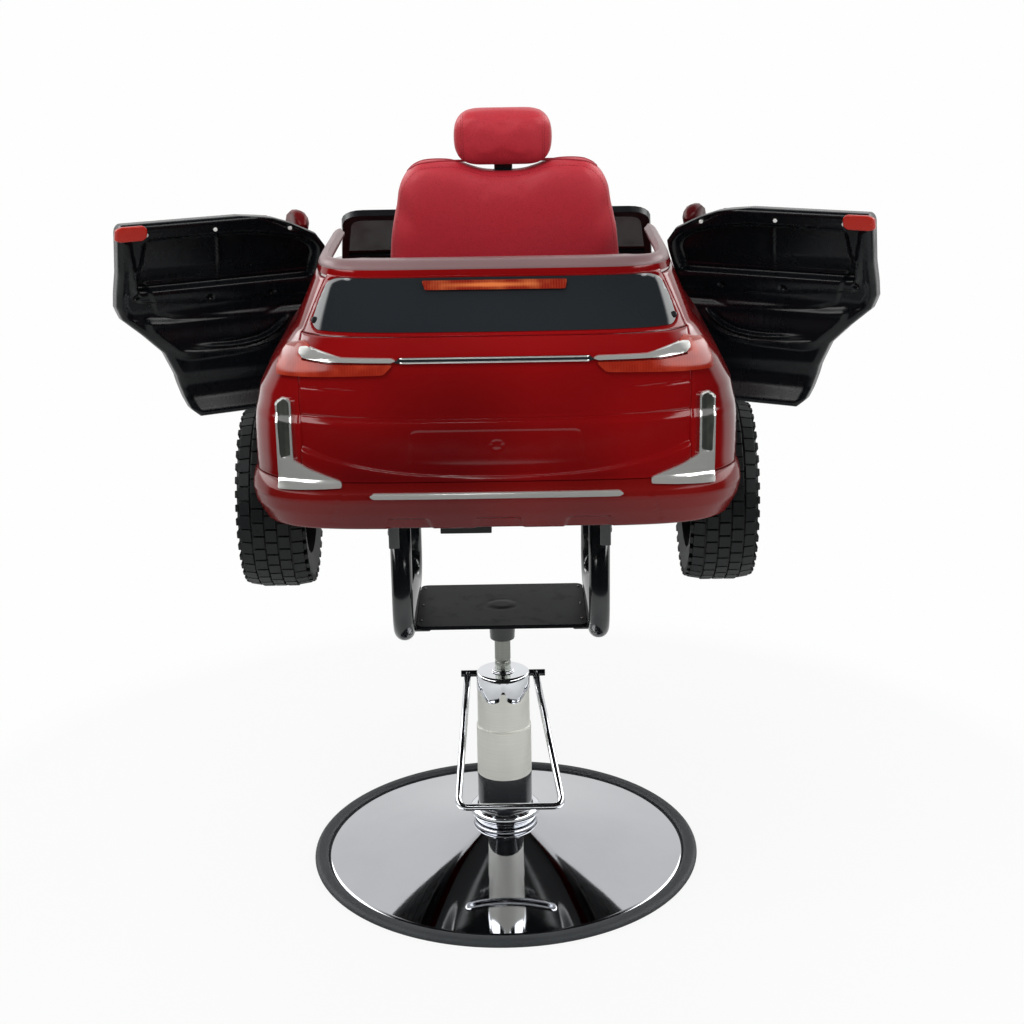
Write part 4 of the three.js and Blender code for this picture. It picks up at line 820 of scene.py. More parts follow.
# the roof lip is red paint drawn grey-rose: painted reflection of the light above
ROOF_LIP_REFLECTION = Enamel("roof_rose", (122, 96, 97), 0.4, deep=(98, 74, 76), coat=0.1)
SMOKED_GLASS = Enamel("smoked_glass", (34, 37, 40), 0.06, deep=(24, 27, 30), ripple=0.02, coat=0.3, specular=0.4)
RED_PILLAR = Enamel("red_pillar", (92, 10, 14), 0.3, deep=(62, 8, 12), coat=0.05, specular=0.12)
BLACK_PAINT = Enamel("black_paint", (17, 20, 23), 0.16, deep=(11, 13, 15), ripple=0.06, coat=0.5, specular=0.5)
PLATE_PAINT = Moulded("plate_paint", (11, 13, 16), 0.42, worn=(18, 21, 24), grain=1400.0, depth=0.03, specular=0.06)
BLACK_PLASTIC = Moulded("black_plastic", (13, 14, 17), 0.4, worn=(32, 35, 39))
DOOR_PLASTIC = Moulded("door_plastic", (6, 8, 11), 0.3, worn=(15, 18, 22), grain=760.0, depth=0.05, specular=0.26)
TUB_PLASTIC = Moulded("tub_plastic", (15, 16, 18), 0.5, worn=(36, 38, 42))
TYRE_PLASTIC = Moulded("tyre_plastic", (13, 15, 16), 0.5, worn=(30, 33, 34), grain=520.0, depth=0.1, specular=0.25)
BASE_RUBBER = Rubbery("base_rubber", (34, 37, 40), 0.62)
DARK_BARREL = Enamel("dark_barrel", (34, 36, 40), 0.25, deep=(20, 22, 25), ripple=0.05, specular=0.5)
# the red tail lenses keep the faint painted glow; the brake lens has no glow but carries a painted highlight band
RED_LENS = Lens("red_lens", (124, 26, 14), 0.16, glow=(176, 60, 32))
BRAKE_LENS = Lens("brake_lens", (112, 18, 14), 0.14, glow=(196, 104, 56), streak=(-0.004, 1.042, 0.07, 0.0032),
        shine=0.0)
SMOKE_LENS = Lens("smoke_lens", (42, 44, 41), 0.14, glow=(74, 77, 71), ribs=900.0, shine=0.0)
RED_PLASTIC = Moulded("red_plastic", (168, 32, 20), 0.26, worn=(184, 52, 34), grain=1000.0, depth=0.03)
CLEAR_SCREEN = Glazing("clear_screen", (18, 15, 17), 0.06, cover=0.8)
# crease is the colour of the painted shade in the leather grain's valleys
RED_LEATHER = Leather("red_leather", (188, 44, 56), 0.38)
PIPING = Leather("piping_leather", (150, 36, 48), 0.46, crease=(96, 16, 26), worn=(168, 52, 62), pebble=900.0)
STITCH = Moulded("stitch_thread", (128, 30, 40), 0.7, worn=(150, 50, 58), grain=2400.0, depth=0.05)


# ---- studio ----
@dataclass
class Studio:
    """The pale floor, the soft lamps, the room that metal reflects, and the camera. Lengths in metres."""

    camera_place: tuple[float, float, float] = (0.018806, -2.720, 1.446509)
    look_down: float = 17.4024
    roll: float = -0.9
    lens: float = 63.155
    floor_radius: float = 2.3
    shadow_reach: float = 1.15

    def build(self) -> None:
        """Makes everything round the chair."""
        self.camera()
        self.floor()
        self.lamps()
        self.room()

    def camera(self) -> None:
        """Sets the camera where the photograph was taken from."""
        eye = bpy.data.cameras.new("camera")
        eye.sensor_width = 36.0
        eye.lens = self.lens
        holder = linked("camera", eye)
        tilt = Matrix.Rotation(radians(90.0 - self.look_down), 4, "X")
        roll = Matrix.Rotation(radians(self.roll), 4, "Z")
        holder.matrix_world = Matrix.Translation(self.camera_place) @ tilt @ roll
        bpy.context.scene.camera = holder

    def floor(self) -> None:
        """Lays a round pale floor that keeps the shadow and fades into the white room."""
        rings = [0.0, 0.4, 0.8, 1.2, 1.6, self.floor_radius]
        floor = revolve("floor", [(r / MM, 0.0) for r in rings], 96, closed=False)
        if floor.data.polygons[0].normal.z < 0:
            floor.data.flip_normals()
        paint = Paint("pale_floor")
        across, along, _ = paint.axes()
        reach = (across * across + along * along) ** 0.5
        ray = paint.node("ShaderNodeLightPath", output="Is Camera Ray")
        fade = reach.step(0.3, self.shadow_reach).most(0.9)
        cloud = paint.noise(5.0, 3.0)
        pale = paint.surface(paint.tint(cloud, (238, 239, 239), (232, 233, 233)), 0.9 - 0.05 * cloud,
                Specular_IOR_Level=0.1)
        white = paint.node("ShaderNodeEmission", {}, {"Color": (0.985, 0.99, 0.985, 1.0), "Strength": 1.0})
        shader = paint.node("ShaderNodeMixShader", {}, {0: ray * fade, 1: pale, 2: white})
        floor.data.materials.append(paint.done(shader))

    def lamps(self) -> None:
        """Hangs three soft lamps, and three small ones that gloss shows as glints.

        Each has its name, its place, the point that it faces, its diameter, its watts, and whether gloss shows it.
        """
        for name, place, aim, size, power, seen in (
                ("key_lamp", (-0.8, -1.9, 2.7), (0.0, 0.0, 0.75), 1.3, 26.0, False),
                ("fill_lamp", (1.7, -2.1, 1.5), (0.0, 0.0, 0.8), 1.2, 14.0, False),
                ("top_lamp", (0.0, 0.4, 3.1), (0.0, 0.0, 0.9), 1.6, 17.0, False),
                ("glint_left", (-1.5, -1.5, 2.7), (0.0, -0.4, 0.9), 0.42, 2.2, True),
                ("glint_middle", (-0.12, -2.4, 3.0), (0.0, -0.4, 0.9), 0.2, 0.8, True),
                ("glint_right", (1.6, -1.3, 2.6), (0.0, -0.4, 0.9), 0.42, 2.2, True)):
            light = bpy.data.lights.new(name, "AREA")
            light.shape, light.size, light.energy = "DISK", size, power
            holder = linked(name, light)
            turn = (Vector(aim) - Vector(place)).to_track_quat("-Z", "Y")
            holder.matrix_world = Matrix.Translation(place) @ turn.to_matrix().to_4x4()
            holder.visible_glossy, holder.visible_camera = seen, False

    def room(self) -> None:
        """Makes the white room: plain for the eye, and darker in front and below for gloss."""
        world = bpy.data.worlds.new("room")
        bpy.context.scene.world = world
        paint = Paint("room", world)
        across, along, up = paint.axes(paint.node("ShaderNodeTexCoord", output="Generated"))
        eye = paint.node("ShaderNodeLightPath", output="Is Camera Ray")
        gloss = paint.node("ShaderNodeLightPath", output="Is Glossy Ray")
        through = paint.node("ShaderNodeLightPath", output="Is Transmission Ray")
        behind = along.step(0.16, 0.34) * (1.0 - up.step(0.7, 0.85))
        side = across.size().step(0.46, 0.54) * up.step(0.26, 0.32) * (1.0 - up.step(0.66, 0.72)) * 5.0
        wall = behind.most(side).most(0.012)
        straight = (eye + through).least(1.0)
        level = straight + (1.0 - straight) * (gloss * wall + (1.0 - gloss) * 0.62)
        colour = paint.node("ShaderNodeCombineXYZ", {}, {0: level * 0.985, 1: level * 0.99, 2: level * 0.985})
        paint.done(paint.node("ShaderNodeBackground", {}, {"Color": colour, "Strength": 1.0}))


# ---- pump and base ----
@dataclass
class PumpBase:
    """The round chrome base with its rubber edge, and the pump that stands on it."""

    radius: float = 320.0
    ring_width: float = 23.0
    ring_height: float = 13.0
    dome_rise: float = 60.0
    dome_wall: float = 3.0
    collar: float = 56.0
    collar_height: float = 27.0
    pump: float = 44.0
    wall: float = 1.6
    cover_low: float = 146.0
    band: float = 231.0
    cap_low: float = 262.0
    skirt: float = 290.0
    cap_top: float = 324.0
    scallop: float = 9.0
    ram: float = 12.8
    shaft_y: float = 24.0
    shaft_z: float = 309.0
    shaft: float = 5.5
    gap: float = 0.3

    def build(self) -> None:
        """Makes and dresses the whole standing part."""
        finished(self.dome(), DOME_CHROME, "base_dome")
        finished(self.edge(), BASE_RUBBER, "base_edge")
        finished(self.foot_collar(), CHROME, "base_collar")
        kept("pump_cylinder", "pump_barrel", DARK_BARREL, 0.6, 2, 40)
        finished(self.cover(), COVER_STEEL, "pump_cover")
        finished(self.cap(), CHROME, "pump_cap")

    def dome(self) -> Piece:
        """The pressed dish that carries the pump."""
        outer, lift = self.radius - self.ring_width, self.ring_height - 5
        line = []
        for k in range(33):
            r = mix(outer, self.collar - 1, k / 32)
            t = (outer - r) / (outer - self.collar)
            line.append((r, lift + (self.dome_rise - lift) * (0.72 * t + 0.28 * t * t)))
        line.append((self.pump + 0.4, self.dome_rise))
        under = [(r, z - self.dome_wall) for r, z in reversed(line)]
        return revolve("base_dish", line + under, 160)

    def edge(self) -> Piece:
        """The moulded rubber edge with its rolled outer lip."""
        inner, lip = self.radius - self.ring_width, self.ring_height - 5 - self.dome_wall
        profile = [(inner - 8, 0), (self.radius - 3, 0), (self.radius, 4), (self.radius - 1, self.ring_height - 4),
                (self.radius - 6, self.ring_height), (inner + 5, self.ring_height),
                (inner + self.gap, self.ring_height - 3.4), (inner + self.gap, lip - self.gap),
                (inner - 8, lip - self.gap - 1)]
        line = rounded(profile, [0.5, 2, 3, 3, 3.5, 3.5, 1.5, 0.5, 0.5], 4)
        return revolve("base_edging", line, 160)

    def foot_collar(self) -> Piece:
        """The two-step chrome collar at the pump's foot."""
        low = self.dome_rise + self.gap
        high = low + self.collar_height
        inner, r = self.pump + 1.2, self.collar
        profile = [(inner, low), (r - 7, low), (r - 5, low + 5), (r - 5, low + 8), (r - 2, low + 12),
                (r + 2, low + 14), (r + 2, high - 5), (r - 5, high), (inner + 1, high), (inner, high - 1)]
        return revolve("foot_collar", rounded(profile, [0.5, 2, 2, 2, 3, 3, 3.5, 3.5, 0.6, 0.6], 5), 112)

    def cover(self) -> Piece:
        """The satin sleeve in two bands with a fine seam between them."""
        r, inner, seam = self.pump, self.pump - self.wall, self.band
        top = self.skirt + 12
        profile = [(inner, self.cover_low), (r + 0.8, self.cover_low), (r + 0.8, seam - 1), (r - 0.5, seam - 0.4),
                (r - 0.5, seam + 0.8), (r - 1.2, seam + 1.5), (r - 1.6, top), (inner - 1, top),
                (inner - 1, self.cap_low)]
        return revolve("pump_sleeve", rounded(profile, [0.4, 1.2, 0.5, 0.2, 0.2, 0.5, 0.6, 0.4, 0.4], 4), 112)

    def cap(self) -> Piece:
        """The chrome cap with its gland, its scalloped skirt and the small notch at the front."""
        r = self.pump - 0.6
        inner = r - 0.9
        hole = self.ram + self.gap
        turns = 192
        skirt = [(r - 0.4, self.skirt - 0.6), (r, self.skirt), (r, self.cap_top - 5)]
        corners = [(r, self.cap_top - 5), (r - 1.2, self.cap_top - 1.2), (r - 5, self.cap_top), (19.0, self.cap_top),
                (18.4, self.cap_top + 3), (17.0, self.cap_top + 4), (hole, self.cap_top + 4),
                (hole, self.cap_top - 3), (inner, self.cap_top - 3)]
        crown = rounded(corners, [1, 1.5, 2, 1, 0.8, 0.8, 0.4, 0.4, 0.4], 4, False)
        profile = skirt[:-1] + crown + [(inner, self.skirt)]
        angle = np.arange(turns) * (2 * pi / turns)
        off = np.degrees(np.abs(np.mod(angle + 1.5 * pi, 2 * pi) - pi))
        off = np.minimum(off, 180.0 - off)
        drop = mix(self.scallop * (1 - ((off - 28.0) / 26.0) ** 2), -5.0, eased((off - 50.0) / 8.0))
        drop = mix(-9.0, drop, eased((off - 5.0) / 3.0))
        loops = []
        for index, (radius, z) in enumerate(profile):
            fall = drop if index < 2 or index == len(profile) - 1 else 0.0
            loops.append(np.column_stack([radius * np.cos(angle), radius * np.sin(angle), z - fall + 0 * angle]))
        body = loft("pump_cap_skirt", loops, True)
        bore = sweep("shaft_bore", np.array([[-60, self.shaft_y, self.shaft_z], [60, self.shaft_y, self.shaft_z]]),
                circle(self.shaft + self.gap, 32))
        return carved(body, [bore])


@dataclass
class PumpPedal:
    """The bent chrome loop that hangs from both ends of the pump shaft."""

    y: float = 24.0
    z: float = 309.0
    rod: float = 5.7
    corner: float = 17.0
    reach: float = 124.0
    drop: float = 169.0
    top: Pair = (-58.0, 53.0)
    low: Pair = (-75.0, 93.0)

    def build(self) -> None:
        """Makes the shaft and the loop."""
        kept("pump_shaft", "pedal_shaft", BLACK_PAINT, 0.8)
        finished(self.loop(), CHROME, "pedal_loop")

    def loop(self) -> Piece:
        """The round bar, bent at both lower corners."""
        front, foot = -self.reach, self.z - self.drop
        path = bent_path([(self.top[0], self.y, self.z + 1), (self.low[0], front, foot), (self.low[1], front, foot),
                (self.top[1], self.y, self.z + 1)], self.corner, 12)
        return sweep("pump_loop", path, circle(self.rod, 24), up=(0, -1, 1))


@dataclass
class Ram:
    """The rod that lifts the chair, with its piston."""

    radius: float = 12.8
    low: float = 88.0
    top: float = 424.0
    step: float = 112.3

    def build(self) -> None:
        """Makes the rod and the piston."""
        finished(self.rod(), RAM_STEEL, "ram_rod")
        kept("lift_piston", "ram_piston", BLACK_PLASTIC, 0.8)

    def rod(self) -> Piece:
        """The ground rod with its machined land above the gland."""
        r, step = self.radius, self.step
        profile = [(0, self.low - 6), (r - 2, self.low - 6), (r - 2, step), (r, step), (r, 341), (r - 0.7, 342),
                (r - 0.7, 344), (r, 345), (r, self.top - 3), (r - 3, self.top), (0, self.top)]
        return turned_bar("lift_rod", profile, 0.7, 3, 72)


@dataclass
class Carrier:
    """The black steel that joins the ram to the car: boss, plate and the two tube frames."""

    half_width: float = 134.0
    half_depth: float = 97.0
    ahead: float = 7.0
    top: float = 436.0
    thickness: float = 6.0
    tube: float = 28.0
    swell: float = 2.0
    leg_y: float = 150.0
    bend: float = 55.0
    bar_z: float = 439.0
    leg_top: float = 649.5
    flange: float = 22.0
    bracket: float = 12.0
    bracket_low: float = 594.0
    bracket_depth: float = 70.0
    gap: float = 0.3

    def build(self) -> None:
        """Makes the boss, the plate and the frames."""
        kept("swivel_socket", "swivel_boss", BLACK_PAINT, 0.8)
        finished(self.plate(), PLATE_PAINT, "mount_plate")
        added(self.plate_screws(), PIN_STEEL, "mount_plate")
        for side in Side:
            finished(self.side_frame(side), BLACK_PAINT, f"side_frame_{side.word}")

    def plate(self) -> Piece:
        """The pressed plate with its folded front edge line and the oval emboss at the middle."""
        rows, columns = 45, 65
        w, d, r = self.half_width, self.half_depth, 12.0
        across, along = np.meshgrid(np.linspace(-1, 1, columns) * w, np.linspace(-1, 1, rows) * d)
        over = np.maximum(np.abs(across) - (w - r), 0)
        past = np.maximum(np.abs(along) - (d - r), 0)
        reach = np.hypot(over, past)
        pull = np.where(reach > r, r / np.maximum(reach, 1e-6), 1.0)
        across = np.sign(across) * (np.minimum(np.abs(across), w - r) + over * pull)
        along = np.sign(along) * (np.minimum(np.abs(along), d - r) + past * pull)
        oval = np.hypot(across / 23.0, along / 20.0)
        lift = 1.1 * eased((1.05 - oval) / 0.4) - 0.5 * np.exp(-((oval - 1.12) / 0.06) ** 2)
        along = along + self.ahead
        top = np.stack([across, along, self.top + lift], 2)
        under = np.stack([across, along, np.full_like(across, self.top - self.thickness)], 2)
        return bevelled(panel("carrier_plate", top, under), 1.6, 3, 50)

    def plate_screws(self) -> Piece:
        """Three countersunk screws along each end of the plate."""
        heads = []
        for x in (7 - self.half_width, self.half_width - 7):
            for y in (-62, 8, 88):
                head = turned_bar("head", [(0, 0.0), (1.9, 0.0), (1.9, 0.4), (1.2, 1.0), (0, 1.1)], 0.3, 2, 20)
                heads.append(moved(head, (x, y, self.top + 0.1)))
        return joined("plate_screws", heads)

    def side_frame(self, side: Side) -> Piece:
        """One bent tube with its flange under the plate and its brackets under the tub."""
        s = side.value
        x = s * (self.half_width + self.gap + self.tube / 2 + 1.6)
        legs = [(x, -self.leg_y, self.leg_top), (x, -self.leg_y, self.bar_z), (x, self.leg_y, self.bar_z),
                (x, self.leg_y, self.leg_top)]
        path = bent_path(legs, self.bend, 16)
        pieces = [sweep("tube", path, circle(self.tube / 2 + self.swell, 36), up=(1, 0, 0))]
        outer = s * (self.half_width + self.tube + self.bracket / 3)

        def box(x0: float, x1: float, y0: float, y1: float, z0: float, z1: float, r: float) -> Piece:
            """A flat bar with rounded plan corners."""
            outline = [(min(x0, x1), y0), (max(x0, x1), y0), (max(x0, x1), y1), (min(x0, x1), y1)]
            return bevelled(slab("bar", rounded(outline, r, 4), z0, z1), 1.0)

        flange = self.top - self.thickness - self.gap
        pieces.append(box(s * (self.half_width - self.flange), x, -self.half_depth + 13, self.half_depth, flange - 4,
                flange, 4))
        for end in (-1, 1):
            y = end * self.leg_y
            pieces.append(box(x, outer, y - 26, y + 26, self.bracket_low, self.leg_top, 3))
            pieces.append(box(s * (self.half_width - 24), outer, y - self.bracket_depth / 2,
                    y + self.bracket_depth / 2, self.leg_top - 6, self.leg_top, 5))
            for low in (608.0, 632.0):
                bolt = turned_bar("bolt", [(0, 0), (6.5, 0), (6.5, 1.2), (5.2, 3.4), (0, 3.6)], 0.6, 2, 24)
                pieces.append(moved(bolt, (outer, y + 14, low), Matrix.Rotation(s * pi / 2, 4, "Y")))
        return joined(f"tube_frame_{side.word}", pieces)


# ---- repeats ----
@dataclass
class Repeat:
    """A Geometry Nodes tree that sets small pieces along a path or round a ring."""

    name: str

    def __post_init__(self) -> None:
        """Starts the tree with its geometry input and output."""
        self.tree = bpy.data.node_groups.new(self.name, "GeometryNodeTree")
        for way in ("INPUT", "OUTPUT"):
            self.tree.interface.new_socket("Geometry", in_out=way, socket_type="NodeSocketGeometry")
        self.start = self.tree.nodes.new("NodeGroupInput")
        self.stop = self.tree.nodes.new("NodeGroupOutput")

    def inputs(self, **kinds: str) -> list[bpy.types.NodeSocket]:
        """Adds the named inputs of the given kinds and hands their sockets back."""
        for name, kind in kinds.items():
            self.tree.interface.new_socket(name, in_out="INPUT", socket_type=f"NodeSocket{kind}")
        return [self.start.outputs[name] for name in kinds]

    def add(self, kind: str, links: dict[Any, Any] | None = None, **settings: Any) -> bpy.types.NodeSocket:
        """Adds a node with its settings, values and links, and hands its first output back."""
        node = self.tree.nodes.new(kind)
        for key, value in settings.items():
            setattr(node, key, value)
        for key, value in (links or {}).items():
            if isinstance(value, bpy.types.NodeSocket):
                self.tree.links.new(value, node.inputs[key])
            else:
                node.inputs[key].default_value = value
        return node.outputs[0]

    def end(self, geometry: bpy.types.NodeSocket, material: bpy.types.NodeSocket) -> None:
        """Realizes the instances, sets their material and closes the tree."""
        real = self.add("GeometryNodeRealizeInstances", {0: geometry})
        dressed = self.add("GeometryNodeSetMaterial", {"Geometry": real, "Material": material})
        self.tree.links.new(dressed, self.stop.inputs[0])

    def run(self, name: str, base: bpy.types.Mesh, values: dict[str, Any]) -> Piece:
        """Runs the tree over a mesh and hands back a plain mesh object.

        Args:
            name: the new piece's name.
            base: the mesh that the tree starts from.
            values: the inputs by name.

        Returns:
            The new piece, without modifiers.
        """
        holder = linked(name, base)
        live = modifier(holder, "NODES", node_group=self.tree)
        for item in self.tree.interface.items_tree:
            if item.item_type == "SOCKET" and item.in_out == "INPUT" and item.name in values:
                live[item.identifier] = values[item.name]
        return smoothed(applied(holder))


@lru_cache(maxsize=None)
def ring_repeat() -> Repeat:
    """The tree that sets rounded blocks round the X axis, for tyre treads."""
    tree = Repeat("ring_of_blocks")
    radius, count, block, place, start, lean, material = tree.inputs(Radius="Float", Count="Int", Block="Vector",
            Place="Float", Start="Float", Lean="Float", Material="Material")
    ring = tree.add("GeometryNodeMeshCircle", {"Vertices": count, "Radius": radius}, fill_type="NONE")
    spun = tree.add("ShaderNodeCombineXYZ", {"Z": start})
    turned = tree.add("GeometryNodeTransform", {"Geometry": ring, "Rotation": spun})
    upright = tree.add("GeometryNodeTransform", {"Geometry": turned, "Rotation": (0.0, pi / 2, 0.0)})
    cube = tree.add("GeometryNodeMeshCube", {"Size": block})
    tilt = tree.add("ShaderNodeCombineXYZ", {"Y": lean})
    leaned = tree.add("GeometryNodeTransform", {"Geometry": cube, "Rotation": tilt})
    aim = tree.add("FunctionNodeAlignRotationToVector", {"Vector": tree.add("GeometryNodeInputPosition")}, axis="Z",
            pivot_axis="X")
    blocks = tree.add("GeometryNodeInstanceOnPoints", {"Points": upright, "Instance": leaned, "Rotation": aim})
    shift = tree.add("ShaderNodeCombineXYZ", {"X": place})
    moved = tree.add("GeometryNodeTransform", {"Geometry": blocks, "Translation": shift})
    tree.end(moved, material)
    return tree


@lru_cache(maxsize=None)
def stitch_repeat() -> Repeat:
    """The tree that sets short threads along a seam line."""
    tree = Repeat("row_of_stitches")
    pitch, length, thread, material = tree.inputs(Pitch="Float", Length="Float", Thread="Float", Material="Material")
    line = tree.add("GeometryNodeMeshToCurve", {"Mesh": tree.start.outputs[0]})
    even = tree.add("GeometryNodeResampleCurve", {"Curve": line, "Length": pitch}, mode="LENGTH")
    capsule = tree.add("GeometryNodeMeshUVSphere", {"Segments": 6, "Rings": 5, "Radius": 1.0})
    size = tree.add("ShaderNodeCombineXYZ", {"X": thread, "Y": thread, "Z": length})
    thin = tree.add("GeometryNodeTransform", {"Geometry": capsule, "Scale": size})
    along = tree.add("GeometryNodeInputTangent")
    aim = tree.add("FunctionNodeAlignRotationToVector", {"Vector": along}, axis="Z")
    threads = tree.add("GeometryNodeInstanceOnPoints", {"Points": even, "Instance": thin, "Rotation": aim})
    tree.end(threads, material)
    return tree


def line_mesh(name: str, points: Rows, closed: bool) -> bpy.types.Mesh:
    """A mesh of edges along a line of points in millimetres."""
    mesh = bpy.data.meshes.new(name)
    count = len(points)
    edges = [(i, (i + 1) % count) for i in range(count if closed else count - 1)]
    mesh.from_pydata((points * MM).tolist(), edges, [])
    return mesh


def stitches(name: str, points: Rows, closed: bool, pitch: float = 5.0, length: float = 1.7,
        thread: float = 0.42) -> Piece:
    """A row of stitches along a seam line, in millimetres."""
    return stitch_repeat().run(name, line_mesh(name, points, closed),
            {"Pitch": pitch * MM, "Length": length * MM, "Thread": thread * MM, "Material": STITCH.material()})


# ---- seat ----
class Face(Enum):
    """The two broad faces of a pad, as signs along its thickness."""

    FRONT = 1
    REAR = -1


def resampled(points: Line, count: int) -> Rows:
    """A closed outline with its points evenly spaced."""
    line = np.array(list(points) + [points[0]], float)
    lengths = np.concatenate([[0], np.cumsum(np.hypot(*np.diff(line, axis=0).T))])
    spots = np.linspace(0, lengths[-1], count, endpoint=False)
    return np.column_stack([np.interp(spots, lengths, line[:, 0]), np.interp(spots, lengths, line[:, 1])])


@dataclass
class Pad:
    """A stuffed cushion: its outline, how it is crowned, and where it lies.

    The outline is drawn in u and v about a middle point; place turns rows of u, v and w into points.
    """

    name: str
    outline: Rows
    middle: Pair
    thickness: float
    place: Callable[[Rows], Rows]
    edge: float = 24.0
    crown: float = 7.0
    shrink: float = 3.0
    voxel: float = 5.5
    pressure: float = 4.0
    swell: float = 6.0
    fill: float = 0.7

    def ring(self, inset: float) -> Rows:
        """The outline drawn in by a distance, towards the middle."""
        rays = self.outline - np.array(self.middle)
        reach = np.hypot(*rays.T)[:, None]
        return np.array(self.middle) + rays * np.clip(1 - inset / reach, 0.0, 1.0)

    def laid(self, line: Rows, depth: float) -> Rows:
        """A line on the outline's plane, placed at a depth through the pad."""
        return self.place(np.column_stack([line, np.full(len(line), depth)]))

    def build(self) -> Piece:
        """Makes the cushion: a slightly small form that is swelled by cloth pressure."""
        reach = float(np.hypot(*(self.outline - np.array(self.middle)).T).min())
        half = self.thickness / 2 - self.crown - self.shrink * 0.5
        insets, lifts = [], []
        for k in range(9):
            angle = k / 8 * pi / 2
            insets.append(self.shrink + self.edge * (1 - cos(angle)))
            lifts.append(half * sin(angle) ** 0.8)
        for k in range(1, 9):
            share = k / 9
            insets.append(self.shrink + self.edge + (reach * 0.93 - self.edge) * share)
            lifts.append(half + self.crown * (1 - (1 - share) ** 2.2) * 0.8)
        rows = [self.laid(self.ring(i), w) for i, w in zip(insets, lifts)]
        under = [self.laid(self.ring(i), -w) for i, w in zip(insets[1:], lifts[1:])]
        return self.stuffed(loft(self.name, rows[::-1] + under))

    def stuffed(self, piece: Piece) -> Piece:
        """Swells the pad with cloth pressure, caps how far it moves, and smooths it once."""
        modifier(piece, "REMESH", mode="VOXEL", voxel_size=self.voxel * MM)
        applied(piece)
        start = np.array([v.co[:] for v in piece.data.vertices])
        cloth = modifier(piece, "CLOTH")
        for key, value in {"quality": 4, "mass": 0.3, "tension_stiffness": 12.0, "compression_stiffness": 12.0,
                "bending_stiffness": 1.2, "use_pressure": True, "uniform_pressure_force": self.pressure}.items():
            setattr(cloth.settings, key, value)
        cloth.settings.effector_weights.gravity = 0.0
        cloth.point_cache.frame_start, cloth.point_cache.frame_end = 1, 20
        for step in range(1, 21):
            bpy.context.scene.frame_set(step)
        shown = piece.evaluated_get(bpy.context.evaluated_depsgraph_get())
        swollen = np.array([v.co[:] for v in shown.data.vertices])
        piece.modifiers.clear()
        bpy.context.scene.frame_set(1)
        move = swollen - start
        far = np.linalg.norm(move, axis=1)[:, None]
        held = start + move * np.minimum(1.0, self.swell * MM / np.maximum(far, 1e-9))
        piece.data.vertices.foreach_set("co", held.ravel())
        piece.data.update()
        modifier(piece, "SMOOTH", factor=0.5, iterations=4)
        applied(piece)
        modifier(piece, "SUBSURF", levels=1, render_levels=1)
        return smoothed(applied(piece))

    def seam(self, cushion: Piece, line: Rows, face: Face, lift: float = 0.3) -> Rows:
        """A line drawn on the outline's plane, laid on the finished cushion's own surface.

        Args:
            cushion: the finished cushion.
            line: rows of u and v.
            face: which face it lies on.
            lift: how far it stands over the surface.

        Returns:
            Rows of points in millimetres, without those that miss the cushion.
        """
        rows = []
        for a, b in zip(self.laid(line, face.value * (self.thickness / 2 + 40)) * MM, self.laid(line, 0.0) * MM):
            way = Vector(b - a).normalized()
            hit, spot, _, _ = cushion.ray_cast(Vector(a), way)
            if hit:
                rows.append(np.array(spot) / MM - np.array(way) * lift)
        return np.array(rows)


